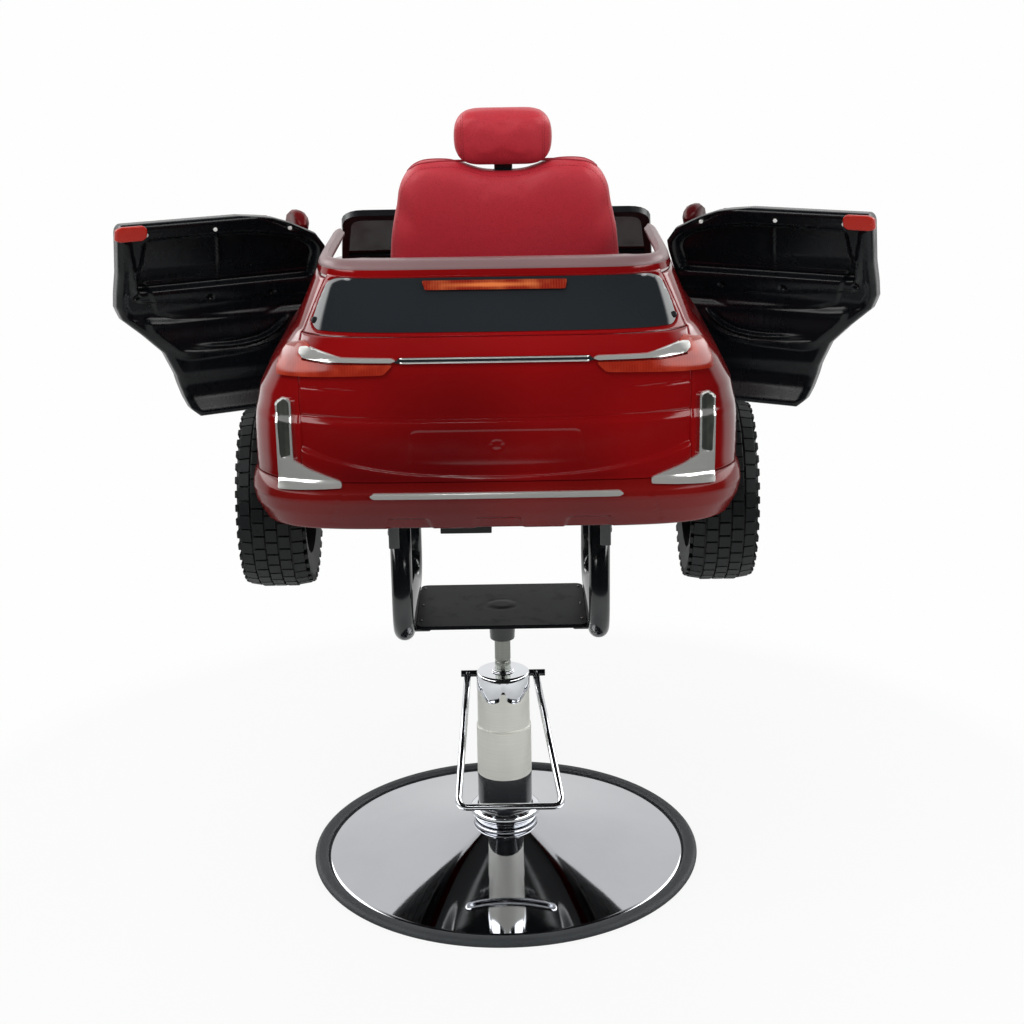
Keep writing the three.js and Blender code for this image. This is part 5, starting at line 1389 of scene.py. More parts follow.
@dataclass
class Seat:
    """The red padded seat, its back and headrest, and the black steel under them."""

    x: float = SEAT_X
    half: float = 165.0
    rear: float = -14.0
    front: float = 208.0
    bottom: float = 770.0
    thickness: float = 70.0
    back_y: float = -52.0
    back_bottom: float = 806.0
    back_top: float = 1168.0
    back_thickness: float = 62.0
    lean: float = 6.0
    head_half: float = 70.0
    head_height: float = 78.0
    head_bottom: float = 1154.0
    bar_width: float = 26.0
    bar_thickness: float = 6.0

    def build(self) -> None:
        """Makes and dresses the pads, their seams and the frame."""
        self.seat_pad()
        self.back_pad()
        self.head_pad()
        finished(self.bar(), BLACK_PAINT, "headrest_bar")
        stand = applied(copied_solid("seat_stand", "seat_frame", 1.6))
        ends = slab("upright_ends", [(-400, -300), (400, -300), (400, 300), (-400, 300)], 985.0, 1100.0)
        finished(carved(stand, [ends]), BLACK_PAINT, "seat_frame")

    def on_back(self, rows: Rows) -> Rows:
        """Turns across, height and depth on the leaning back into points."""
        angle = radians(self.lean)
        up = rows[:, 1] - self.back_bottom
        y = self.back_y - up * sin(angle) + rows[:, 2] * cos(angle) - CAR_MID
        z = self.back_bottom + up * cos(angle) + rows[:, 2] * sin(angle)
        return np.column_stack([self.x + rows[:, 0], y, z])

    def on_seat(self, rows: Rows) -> Rows:
        """Turns across, along and height on the seat into points, flat underneath."""
        middle = (self.front + self.rear) / 2 - CAR_MID
        height = np.maximum(rows[:, 2], -self.thickness / 2 + 3.4)
        return np.column_stack([self.x + rows[:, 0], middle + rows[:, 1], self.bottom + self.thickness / 2 + height])

    def piped(self, pad: Pad, cushion: Piece, node: str, insets: Sequence[float], faces: Sequence[Face]) -> None:
        """Sews piping and stitches round the faces of a cushion."""
        cords, threads = [], []
        for face in faces:
            line = pad.seam(cushion, pad.ring(insets[0]), face, 0.0)
            cords.append(sweep("cord", line, circle(1.5, 10), up=(0, 1, 0.2), closed=True))
            for inset in insets[1:]:
                threads.append(stitches("stitches", pad.seam(cushion, pad.ring(inset), face, 0.15), True))
        added(joined(f"{pad.name}_piping", cords), PIPING, node)
        added(joined(f"{pad.name}_stitches", threads), STITCH, node)

    def seat_pad(self) -> None:
        """The cushion that the child sits on."""
        half_depth = (self.front - self.rear) / 2
        corners = [(self.half, half_depth), (-self.half, half_depth), (-self.half, -half_depth),
                (self.half, -half_depth)]
        pad = Pad("seat_pad", resampled(rounded(corners, 62, 10), 168), (0.0, 0.0), self.thickness, self.on_seat,
                edge=26.0, crown=9.0, fill=0.75)
        cushion = pad.build()
        self.piped(pad, cushion, "seat_cushion", (12.0, 19.0), (Face.FRONT,))
        finished(cushion, RED_LEATHER, "seat_cushion")

    def back_outline(self) -> Rows:
        """The back's outline, broad at the shoulders with a shallow dip for the headrest."""
        top, low = self.back_top, self.back_bottom
        half = [(0, top - 12), (28, top - 11), (50, top - 5), (64, top - 0.5), (80, top + 1.5), (98, top + 1.5)]
        corner = [(112 + 50 * sin(a), top - 62 + 62 * cos(a)) for a in np.linspace(0.1, pi / 2, 9)]
        side = [(167.5, 1085), (172.5, 1060), (178, 1000), (177, 930), (171, low + 26)]
        foot = [(145 + 26 * cos(a), low + 26 - 26 * sin(a)) for a in np.linspace(0.25, pi / 2, 6)]
        line = half + corner + side + foot + [(70, low - 2)]
        whole = line + [(-u, v) for u, v in reversed(line[1:])]
        return resampled(rounded(whole, 9, 3), 200)

    def back_pad(self) -> None:
        """The back cushion, with the slot that the headrest bar slides in."""
        pad = Pad("back_pad", self.back_outline(), (0.0, 1000.0), self.back_thickness, self.on_back, edge=22.0,
                crown=6.0)
        cushion = pad.build()
        w, t = self.bar_width / 2 + 1, self.bar_thickness / 2 + 1
        slot = slab("slot", [(-w, -t), (w, -t), (w, t), (-w, t)], 1036.0, 1210.0,
                lambda p: self.on_back(p[:, [0, 2, 1]]))
        self.piped(pad, cushion, "back_cushion", (9.0, 15.5), (Face.FRONT, Face.REAR))
        carved(cushion, [slot])
        finished(cushion, RED_LEATHER, "back_cushion")

    def head_pad(self) -> None:
        """The headrest cushion, with a seam near each end."""
        middle = self.head_bottom + self.head_height / 2 + 2
        u, v = self.head_half, self.head_height / 2
        corners = [(u, middle + v), (-u, middle + v), (-u, middle - v), (u, middle - v)]
        pad = Pad("head_pad", resampled(rounded(corners, 36, 10), 132), (0.0, middle), 62.0, self.on_back, edge=24.0,
                crown=5.0, shrink=-1.5, voxel=4.5, swell=3.0)
        cushion = pad.build()
        threads = []
        for offset in (-59.0, -56.0, 56.0, 59.0):
            line = np.array([(offset, middle + v * 0.94 * t) for t in np.linspace(-1, 1, 36)])
            threads.append(stitches("end_stitches", pad.seam(cushion, line, Face.REAR, 0.15), False, 4.0, 1.5))
        added(joined("head_pad_stitches", threads), STITCH, "headrest_cushion")
        finished(cushion, RED_LEATHER, "headrest_cushion")

    def bar(self) -> Piece:
        """The flat steel bar that carries the headrest."""
        w, t = self.bar_width / 2, self.bar_thickness / 2
        outline = rounded([(-w, -t), (w, -t), (w, t), (-w, t)], 1.2, 3)
        return slab("headrest_strip", outline, self.back_top - 128.0, self.head_bottom + self.head_height / 2,
                lambda p: self.on_back(p[:, [0, 2, 1]]))


# ---- car shell ----
@dataclass(frozen=True)
class CarSkin:
    """The outer skin of the car's tail and flanks, as plan curves at several heights.

    Each row holds a height, the half width, where the flank starts to turn, where the tail ends, and how
    square the corner between them is. Lengths are in the car's own frame.
    """

    rows: tuple[tuple[float, ...], ...] = ((742, 300, -330, -512, 5.5), (768, 314, -330, -532, 5),
            (788, 317, -330, -545, 4.8), (800, 315, -330, -545, 4.6), (809, 312, -330, -527, 4.5),
            (835, 312, -330, -528, 4.5), (884, 311, -330, -526, 4.5), (890, 310, -330, -520, 4.5),
            (914, 307, -330, -519, 4.5), (948, 290, -320, -518, 4.8), (966, 277, -300, -513, 5),
            (985, 263, -270, -486, 5), (1047, 236, -170, -429, 7), (1071, 229, -150, -418, 8))
    arch: float = 142.0
    axle_y: float = -300.0
    axle_z: float = 726.0
    flare_width: float = 4.0
    soften: float = 3.0

    def level(self, z: Rows) -> list[Rows]:
        """Half width, bend, end and squareness at the given heights, with softened creases."""
        table = np.array(self.rows)
        z = np.asarray(z, float)
        return [np.mean([np.interp(z + d * self.soften, table[:, 0], table[:, k]) for d in (-1, -0.4, 0.4, 1)],
                axis=0) for k in range(1, 5)]

    def flare(self, y: Rows, z: Rows) -> Rows:
        """How far the wheel arch swells out of the flank."""
        off = eased((np.abs(y - self.axle_y) - self.arch - 4) / 44)
        return self.flare_width * (1 - off) * (1 - eased((z - 860) / 60))

    def point(self, x: Rows, z: Rows, inset: Rows | float = 0.0) -> Rows:
        """Points of the tail at the given x and height, set in by a distance, in the shared frame."""
        half, bend, end, square = self.level(z)
        share = np.clip(np.abs(x) / (half - inset), 0.0, 1.0)
        y = bend - (bend - end - inset) * (1 - share ** square) ** (1 / square)
        return np.stack([np.sign(x) * np.minimum(np.abs(x), half - inset), y - CAR_MID, z + 0 * y], -1)

    def turned(self, turn: Rows, z: Rows, side: Any, inset: Rows | float = 0.0) -> Rows:
        """Points round the corner, from the middle of the tail at turn 1 to the flank at turn 0."""
        half, bend, end, square = self.level(z)
        half, depth = half - inset, bend - end - inset
        y = bend - depth * np.sin(turn * pi / 2) ** (2 / square)
        x = half * np.cos(turn * pi / 2) ** (2 / square)
        x = x + self.flare(y, z) * np.minimum(1.0, x / half)
        return np.stack([side * x, y - CAR_MID, z + 0 * y], -1)

    def flank(self, y: Rows, z: Rows, side: int, inset: Rows | float = 0.0) -> Rows:
        """Points of the flank ahead of the corner."""
        half = self.level(z)[0] - inset + self.flare(y, z)
        return np.stack([side * half, y - CAR_MID + 0 * half, z + 0 * half], -1)

    def arch_tool(self, side: int) -> Piece:
        """The round cutter of one wheel arch."""
        drum = revolve("arch", [(0, -150), (self.arch, -150), (self.arch, 150), (0, 150)], 128, closed=False)
        return moved(drum, (side * 350, self.axle_y - CAR_MID, self.axle_z), Matrix.Rotation(pi / 2, 4, "Y"))

    def turn_at(self, x: Rows, z: Rows, inset: float = 0.0) -> Rows:
        """The turn at which a level of the skin reaches x."""
        half, _, _, square = self.level(z)
        return np.arccos(np.clip(x / (half - inset), 0, 1) ** (square / 2)) * 2 / pi


SKIN = CarSkin()


def even(low: float, high: float, pitch: float, roll: float = 2.4) -> Rows:
    """Positions along an edge, closer together near both ends where the edge rolls over."""
    ends = np.array([0.0, 0.12, 0.4, 0.9, 1.6, 2.6]) * roll
    middle = np.linspace(low + ends[-1], high - ends[-1], max(3, int((high - low) / pitch)))
    return np.concatenate([low + ends[:-1], middle, (high - ends[:-1])[::-1]])


def rolled(distance: Rows, radius: float = 2.2) -> Rows:
    """How far an edge of a panel drops at a distance from its rim."""
    near = np.clip(radius - distance, 0.0, radius)
    return radius - np.sqrt(np.maximum(radius * radius - near * near, 0.0))


def inlay(name: str, outline: Line, round_off: float, proud: float, sink: float, edge: float, side: Side = Side.RIGHT,
        inset: Callable[[Rows, Rows], Rows] | None = None, pitch: float = 4.0) -> Piece:
    """A piece laid into the tail's skin, with an outline drawn as seen from behind.

    Args:
        name: the piece's name.
        outline: its corners as x and height, drawn for the right side.
        round_off: how far before and after a corner its curve starts.
        proud: how far it stands out of the skin.
        sink: how deep it reaches into the skin.
        edge: the width of its rolled edge.
        side: the side that it lies on.
        inset: an extra depth by x and height.
        pitch: the spacing of its surface points.

    Returns:
        The piece.
    """
    line = [(side.value * x, z) for x, z in rounded(outline, round_off, 3)]
    flat = np.array(line)
    (x0, z0), (x1, z1) = flat.min(0) - 1.5, flat.max(0) + 1.5
    x, z = np.meshgrid(*(np.linspace(a, b, max(5, int((b - a) / pitch))) for a, b in ((x0, x1), (z0, z1))))
    extra = inset(x, z) if inset else 0.0
    body = panel(name, SKIN.point(x, z, extra - proud), SKIN.point(x, z, sink))
    cutter = slab("cutter", line, -700.0, 0.0, lambda p: p[:, [0, 2, 1]])
    return bevelled(carved(body, [cutter], keep=True), edge, 2, 40)


@dataclass
class Tail:
    """The back of the car: tailgate, quarter panels, window, roof edge, lamps, trim and bumper."""

    half: float = 246.0
    gap: float = 0.35
    wall: float = 4.0
    low: float = 808.7
    split: float = 985.0
    glass_top: float = 1047.0
    band_low: float = 1052.6
    band_wide: float = 244.0
    band_narrow: float = 216.0
    band_rise: float = 62.0
    crease: float = 888.0
    crease_rise: float = 4.0
    smile: float = 811.0
    smile_rise: float = 34.0
    smile_depth: float = 4.0
    door_y: float = 232.0
    bumper_low: float = 742.0
    bumper_top: float = 808.3
    bumper_wall: float = 11.0
    roof_front: float = -128.0
    roof_z: float = 1060.0
    side_rail: float = 18.0
    rear_rail: float = 58.0
    window: tuple[Pair, ...] = ((-206, 990.6), (0, 990.0), (206, 990.6), (226, 991), (232, 998), (224, 1025),
            (214, 1044), (200, 1050), (0, 1050.2), (-200, 1050), (-214, 1044), (-224, 1023), (-232, 998), (-226, 991))
    brake: tuple[Pair, ...] = ((-91, 1047), (93, 1047), (91, 1036.6), (-87, 1037))
    lens: tuple[Pair, ...] = ((138, 945.5), (126, 957.6), (206, 957.8), (243, 961), (230, 974), (238, 980),
            (266, 972), (275, 957), (276, 940.5), (201, 943.5))
    bar: tuple[Pair, ...] = ((-124, 960), (-118, 965.6), (118, 965.6), (124, 961), (118, 959.4), (-118, 959.4))
    wedge: tuple[Pair, ...] = ((122, 962.6), (128, 965.2), (190, 965.8), (236, 975.4), (245, 974), (246, 969),
            (240, 963.8), (206, 961), (128, 960.4))
    lamp: tuple[Pair, ...] = ((277, 800.5), (194, 805), (195, 810.5), (235, 825), (256, 836), (257, 909.5),
            (261, 912.8), (269, 913), (278, 906.5))
    lamp_glass: tuple[Pair, ...] = ((274.6, 836), (259.2, 842), (259.2, 907.4), (262.6, 910.6), (268.6, 910.8),
            (275.6, 904.6))
    strip: tuple[Pair, ...] = ((-159, 796), (-154, 799.8), (154, 799.8), (159, 796), (154, 793), (-154, 793))
    seams: tuple[tuple[Pair, Pair], ...] = (((-186, 812), (-198, 790)), ((-198, 790), (-212, 752)),
            ((186, 812), (197, 790)), ((197, 790), (209, 752)))

    def build(self) -> None:
        """Makes and dresses every piece of the tail."""
        finished(self.tailgate(), RED_SHELL, "tailgate")
        for side in Side:
            finished(self.quarter(side), RED_SHELL, f"quarter_panel_{side.word}")
        self.rear_window()
        finished(self.bumper(), RED_BUMPER, "rear_bumper")
        self.roof()
        self.lamps()

    def smile_at(self, x: Rows) -> Rows:
        """The height of the curved ledge low on the tailgate."""
        return self.smile + self.smile_rise * (np.abs(x) / 240) ** 2.6

    def relief(self, x: Rows, z: Rows) -> Rows:
        """How deep the tailgate's pressed forms lie below its plain skin."""
        ledge = self.smile_at(x)
        under = eased((z - ledge) / 7.0) * (1 - eased((z - ledge - 12) / 52.0))
        crease = self.crease + self.crease_rise * (np.abs(x) / 240) ** 2
        fold = 1.1 * np.exp(-((z - crease) / 1.5) ** 2)
        plate = polygon_distance(x, z, rounded([(-112, 815), (112, 815), (108, 876), (-108, 876)], 10, 4))
        plug = np.abs(np.hypot(x - 1.4, z - 854.6) - 6.0)
        line = np.abs(z - 924.0 - 4 * np.clip((np.abs(x) - 180) / 60, 0, 1))
        recess = 0.7 * eased(plate / 3.0) * eased((z - ledge - 8) / 10)
        grooves = 0.8 * np.exp(-(plug / 0.9) ** 2) + 0.8 * np.exp(-(line / 1.6) ** 2) * eased((np.abs(x) - 150) / 40)
        return self.smile_depth * under + fold + recess + grooves

    def tailgate(self) -> Piece:
        """The lower door of the tail with its crease, its ledge and its plate recess."""
        xs = even(-self.half, self.half, 2.6)
        zs = np.unique(np.concatenate([even(self.low, self.split, 1.7), np.linspace(884, 896, 18)]))
        x, z = np.meshgrid(xs, zs)
        rim = np.minimum(np.minimum(self.half - np.abs(x), z - self.low), self.split - z)
        depth = self.relief(x, z) + rolled(rim)
        return panel("tail_door", SKIN.point(x, z, depth), SKIN.point(x, z, self.wall + 4.5))

    def half_at(self, z: Rows) -> Rows:
        """Half the width of the window opening's band at a height."""
        band = mix(self.band_wide, self.band_narrow, (z - self.split) / self.band_rise)
        return np.where(z < self.split + 0.5, self.half, band)

    def rear_window(self) -> None:
        """The window: its red surround and the dark glass let into it."""
        low, high = self.split + 0.7, self.band_low
        share, z = np.meshgrid(np.linspace(-1, 1, 150), even(low, high, 1.6, 1.6))
        x = share * self.half_at(z)
        glass = polygon_distance(x, z, self.glass())
        rim = np.minimum(z - low, high - z)
        depth = rolled(rim, 1.6) + 1.8 * eased((glass + 1.6) / 1.6)
        surround = panel("window_surround", SKIN.point(x, z, depth), SKIN.point(x, z, 5.0))
        finished(surround, RED_SHELL, "rear_window")
        added(inlay("window_glass", self.glass(-0.3), 0.0, -0.2, 2.4, 0.5), SMOKED_GLASS, "rear_window")

    def glass(self, margin: float = 0.0) -> list[Pair]:
        """The outline of the glass, grown by a margin."""
        line = [(x * (1 + margin / 230), z + (margin if z > 1018 else -margin)) for x, z in self.window]
        return rounded(line, [0, 0, 0, 9, 9, 10, 9, 9, 0, 9, 9, 10, 9, 9], 5)

    def quarter(self, side: Side) -> Piece:
        """The panel between the tailgate and the door, with the wheel arch cut out of it."""
        s = side.value
        zs = even(self.low, self.glass_top, 3.4)
        inner = self.half_at(zs) + 2 * self.gap
        start = SKIN.turn_at(inner, zs)
        steps = np.concatenate([[0, 0.004, 0.012, 0.025, 0.045], np.linspace(0.07, 1, 46)])
        turns = start[:, None] * (1 - steps)
        z = np.repeat(zs[:, None], turns.shape[1], 1)
        bend = SKIN.level(zs)[1]
        reach = self.door_y - np.array([DOOR_EDGE.reach(min(v, 1046.0)) for v in zs]) - 5
        ahead = np.concatenate([np.linspace(0.02, 0.96, 44), [0.978, 0.99, 0.996, 1.0]])
        y = bend[:, None] + (reach - bend)[:, None] * ahead
        zy = np.repeat(zs[:, None], y.shape[1], 1)
        rim_z = np.minimum(zs - self.low, self.glass_top - zs)[:, None]
        start_x = np.abs(SKIN.turned(turns, z, s)[..., 0])
        rim = np.minimum(rim_z, np.maximum(start_x - inner[:, None], (1 - turns / start[:, None]) * 60))
        rim_y = np.minimum(rim_z, np.abs(reach[:, None] - y))
        outer = np.concatenate([SKIN.turned(turns, z, s, rolled(rim)), SKIN.flank(y, zy, s, rolled(rim_y))], 1)
        back = np.concatenate([SKIN.turned(turns, z, s, self.wall), SKIN.flank(y, zy, s, self.wall)], 1)
        body = panel(f"rear_quarter_{side.word}", outer, back)
        return bevelled(carved(body, [SKIN.arch_tool(s)]), 1.2, 2, 50)

    def bumper(self) -> Piece:
        """The bumper, wrapped round the corners, with its seams and the three recesses in its lower edge."""
        zs = np.unique(np.concatenate([even(self.bumper_low, self.bumper_top, 2.0), [768.0, 788.0, 800.0]]))
        middle = np.linspace(0.0, 0.9, 84)
        square = SKIN.level(zs)[3][:, None]
        near = np.arccos(middle[None, :] ** (square / 2)) * 2 / pi
        t = np.concatenate([near, near[:, -1:] * (1 - np.linspace(0.02, 1.0, 44))[None, :]], 1)
        t = np.concatenate([-t[:, ::-1], t[:, 1:]], 1)
        z = np.repeat(zs[:, None], t.shape[1], 1)
        rim = np.minimum(z - self.bumper_low, self.bumper_top - z)
        side = np.where(t < 0, -1, 1)
        x = SKIN.turned(np.abs(t), z, side)[..., 0]
        depth = rolled(rim, 4.0)
        for (x0, z0), (x1, z1) in self.seams:
            u = np.clip((z1 - z) / (z1 - z0), 0, 1)
            depth = depth + np.where((z <= z0) & (z > z1), 1.4 * np.exp(-((x - mix(x1, x0, u)) / 1.5) ** 2), 0.0)
        for middle, half in ((-113, 32), (2, 34), (118, 34)):
            corners = [(middle - half, 730), (middle + half, 730), (middle + half - 7, 760), (middle - half + 7, 760)]
            shape = polygon_distance(x, z, rounded(corners, 4, 4))
            depth = depth + 3.4 * eased((shape + 0.9) / 1.8)
        body = panel("bumper", *(SKIN.turned(np.abs(t), z, side, inset) for inset in (depth, self.bumper_wall)))
        return bevelled(carved(body, [SKIN.arch_tool(-1), SKIN.arch_tool(1)]), 1.0, 2, 50)

    def roof(self) -> None:
        """The roof's rear edge: a satin lip with its rails, painted grey-rose as a reflection on its red paint, over
        a glossy red band.
        """
        steps = 92
        half, bend, end, square = [float(v) for v in SKIN.level(np.array(self.roof_z))]
        straight = [(half, y, self.side_rail) for y in np.linspace(self.roof_front, bend, 16)[:-1]]
        arc = []
        for k in range(steps + 1):
            turn = k / steps
            x = half * cos(turn * pi / 2) ** (2 / square)
            y = bend - (bend - end) * sin(turn * pi / 2) ** (2 / square)
            arc.append((x, y, mix(self.side_rail, self.rear_rail, float(eased((turn - 0.25) / 0.4)))))
        right = np.array(straight + arc)
        line = np.concatenate([right, (right * [-1, 1, 1])[-2::-1]])
        ahead = np.gradient(line[:, :2], axis=0)
        ahead /= np.linalg.norm(ahead, axis=1)[:, None]
        inward = np.column_stack([ahead[:, 1], -ahead[:, 0]])
        middle = np.array([0.0, -200.0])
        inward *= np.sign(np.sum(inward * (middle - line[:, :2]), axis=1))[:, None]
        lip = [(0.5, 1059.2), (0.1, 1060.6), (1.2, 1064.2), (3.4, 1067.4), (6.4, 1069.6), (10.0, 1070.6),
                (-3.0, 1066.0), (-0.8, 1064.6), (0, 1062), (0, 1058.8), (-1.6, 1058.4)]
        band = [(0.9, 1050.6), (0.1, 1052.5), (0.3, 1059.4), (-2.0, 1058.2), (-2.0, 1050.6)]
        # the lip's grey-rose finish is painted reflection on the red roof
        finished(self.edge_piece("roof_lip", line, inward, lip), ROOF_LIP_REFLECTION, "roof_frame")
        added(self.edge_piece("roof_band", line, inward, band), RED_SHELL, "roof_frame")

    def edge_piece(self, name: str, line: Rows, inward: Rows, profile: Line) -> Piece:
        """Carries a profile of offset and height round the roof edge.

        Args:
            name: the piece's name.
            line: the edge's points, each with the depth of its rail.
            inward: the level directions that lead inwards from them.
            profile: the profile; offsets at or below zero are counted from the rail's inner side.

        Returns:
            The piece.
        """
        base = float(SKIN.level(np.array(self.roof_z))[0])
        loops = []
        for (x, y, depth), way in zip(line, inward):
            loop = []
            for off, z in profile:
                lean = base - float(np.interp(z, (1047, 1071), (236, 229)))
                inset = (depth + off if off <= 0 else off) + lean
                loop.append((x + way[0] * inset, y + way[1] * inset - CAR_MID, z))
            loops.append(np.array(loop))
        return bevelled(loft(name, loops), 0.8, 2, 60)

    def lamps(self) -> None:
        """The lamps, the chrome bar between them and the bumper's bright strip."""
        finished(inlay("high_brake_lens", self.brake, 2.0, 4.6, 1.0, 1.0), BRAKE_LENS, "high_brake_light")
        finished(inlay("tail_bar", self.bar, 0.0, 4.0, 1.0, 0.6), SMOKED_GLASS, "tail_garnish")
        lines = []
        for z, thick in ((964.9, 1.0), (960.1, 1.1)):
            xs = np.linspace(-117, 117, 60)
            path = SKIN.point(xs, np.full_like(xs, z), -4.4)
            lines.append(sweep("bright_line", path, circle(thick, 12), up=(0, -1, 0)))
        for side in Side:
            word = side.word
            lens = inlay(f"tail_lens_{word}", self.lens, 4.0, 4.6, 1.5, 1.4, side)
            finished(lens, RED_LENS, f"tail_lamp_{word}")
            lines.append(inlay("wedge", self.wedge, 2.0, 5.6, 0.5, 1.4, side))
            surround = inlay(f"corner_lamp_frame_{word}", self.lamp, 2.6, 5.0, 1.5, 1.6, side, self.lamp_recess)
            finished(surround, TRIM_CHROME, f"corner_lamp_{word}")
            glass = inlay(f"corner_lamp_glass_{word}", self.lamp_glass, 2.0, 4.2, -2.2, 0.6, side)
            added(glass, SMOKE_LENS, f"corner_lamp_{word}")
        added(joined("tail_bar_lines", lines), TRIM_CHROME, "tail_garnish")
        finished(inlay("bumper_bright_strip", self.strip, 1.6, 4.4, 1.0, 1.2), TRIM_CHROME, "bumper_strip")
        screws = []
        for x in (-228.0, 228.0):
            screw = turned_bar("window_screw", [(0, -2), (4.4, -2), (4.4, 1.0), (3.2, 2.2), (0, 2.4)], 0.6, 3, 20)
            spot = SKIN.point(np.array(x), np.array(1001.0))
            screws.append(moved(screw, spot, Matrix.Rotation(radians(62), 4, "X")))
        added(joined("window_screws", screws), BLACK_PLASTIC, "rear_window")

    def lamp_recess(self, x: Rows, z: Rows) -> Rows:
        """How deep the corner lamp's surround drops where its glass lies."""
        return 2.6 * eased((polygon_distance(np.abs(x), z, self.lamp_glass) + 0.6) / 1.4)


# ---- doors ----
@dataclass(frozen=True)
class DoorEdge:
    """The door's trailing edge: how far back from the hinge it reaches at each height."""

    rows: tuple[Pair, ...] = ((726, 206), (738, 214), (748, 226), (764, 232), (804, 244), (842, 261), (872, 291),
            (903, 326), (925, 336), (1062, 344))

    def reach(self, z: Any) -> Any:
        """The reach at a height."""
        table = np.array(self.rows)
        return np.interp(z, table[:, 0], table[:, 1])


DOOR_EDGE = DoorEdge()


@dataclass
class Door:
    """One open door: red shell outside, moulded black lining inside, latch, mirror and hinge pin.

    Points on the door are given as the distance behind the hinge, the height, and the depth inwards.
    """

    side: Side
    hinge: Pair = (300.0, 232.0)
    open_degrees: float = 63.0
    bottom: float = 737.0
    top: float = 1062.0
    skin: float = 5.0
    depth: float = 34.0
    latch_lift: float = 16.0
    mirror_shift: tuple[float, float, float] = (-9.0, 4.5, 4.0)
    window: tuple[Pair, ...] = ((16, 948), (312, 948), (302, 1038), (140, 1038), (76, 1029), (40, 1019), (16, 1000))
    sill: tuple[Pair, ...] = ((12, 919), (180, 922), (304, 932), (306, 945), (12, 945))
    bar_line: tuple[Pair, ...] = ((328, 1030), (307, 939))
    arm_line: tuple[Pair, ...] = ((272, 912), (245, 902), (204, 899), (154, 897), (98, 896), (78, 901), (66, 906),
            (14, 905))
    pull_line: tuple[Pair, ...] = ((58, 884), (79, 865), (106, 853), (148, 848), (222, 853))
    fold_line: tuple[Pair, ...] = ((234, 845), (190, 841), (132, 841))
    bulge: tuple[Pair, ...] = ((286, 868), (262, 846), (228, 831), (141, 832), (76, 839), (44, 872), (20, 892),
            (20, 900), (262, 900), (296, 905))
    holes: tuple[Pair, ...] = ((188, 931), (86, 929))
    screws: tuple[Pair, ...] = ((300, 1044), (192, 1044), (70, 1036))

    def build(self) -> None:
        """Makes and dresses the door's pieces."""
        word = self.side.word
        finished(self.swung(self.shell()), RED_SHELL, f"door_shell_{word}")
        finished(self.swung(self.lining()), DOOR_PLASTIC, f"door_trim_{word}")
        added(self.swung(self.screw_caps()), PALE_CAP, f"door_trim_{word}")
        latch = applied(copied_solid(f"latch_{word}", f"door_latch_{word}", 3.0, 4))
        finished(moved(latch, (0, 0, self.latch_lift)), RED_PLASTIC, f"door_latch_{word}")
        mirror = applied(copied_solid(f"mirror_{word}", f"door_mirror_{word}", 3.0, 4, 50))
        across, along, up = self.mirror_shift
        finished(moved(mirror, (across * self.side.value, along, up)), RED_PILLAR, f"door_mirror_{word}")
        kept(f"hinge_rod_{word}", f"hinge_pin_{word}", PIN_STEEL, 0.6)

    def swung(self, piece: Piece) -> Piece:
        """Turns a closed door's piece about the hinge to where it stands open."""
        s = self.side.value
        x, y = s * self.hinge[0] * MM, (self.hinge[1] - CAR_MID) * MM
        turn = Matrix.Rotation(radians(s * self.open_degrees), 4, "Z")
        applied(piece).data.transform(Matrix.Translation((x, y, 0)) @ turn @ Matrix.Translation((-x, -y, 0)))
        return piece

    def at(self, s: Rows, z: Rows, inset: Rows | float) -> Rows:
        """Points of the closed door in the shared frame."""
        x = self.side.value * (SKIN.level(z)[0] - inset)
        return np.stack([x + 0 * s, self.hinge[1] - s - CAR_MID, z + 0 * s], -1)

    def front_edge(self, z: Rows) -> Rows:
        """How far behind the hinge the door starts at a height."""
        return 4.0 + np.interp(z, (1000, 1024, 1044, 1056, 1062), (0, 20, 62, 96, 150))

    def mapped(self, margin: float, pitch: float) -> tuple[Rows, Rows, Rows]:
        """A grid over the door's face: distance behind the hinge, height, and distance from the rim."""
        zs = even(self.bottom + margin, self.top - margin, pitch, 5.0)
        share = even(0.0, 1.0, 1.0 / 110, 0.016)
        near, far = self.front_edge(zs) + margin, DOOR_EDGE.reach(zs) - margin
        corner = np.clip((zs - (self.top - margin - 14)) / 14.0, 0, 1)
        far = far - 10 * (1 - np.sqrt(1 - corner ** 2))
        s = near[:, None] + (far - near)[:, None] * share[None, :]
        z = np.repeat(zs[:, None], len(share), 1)
        slope = np.gradient(far, zs)[:, None]
        back = (far[:, None] - s) / np.sqrt(1 + slope ** 2)
        rim = np.minimum(np.minimum(back, s - near[:, None]), np.minimum(z - zs[0], zs[-1] - z))
        return s, z, rim

    def shell(self) -> Piece:
        """The painted outer skin, tucked inside the lining's rolled rim."""
        s, z, rim = self.mapped(2.2, 5.0)
        return panel(f"door_skin_{self.side.word}", self.at(s, z, rolled(rim, 2.0)), self.at(s, z, self.skin))

    def lift(self, s: Rows, z: Rows) -> Rows:
        """How far the lining's inner face stands at each spot, with all its pressed forms."""
        def inside(outline: Line, round_off: float) -> Rows:
            """How far the spots lie inside a rounded outline."""
            return polygon_distance(s, z, rounded(outline, round_off, 5))

        def off(line: Line, round_off: float) -> Rows:
            """How far the spots lie from a rounded open line."""
            return polygon_distance(s, z, rounded(line, round_off, 5, False), closed=False)

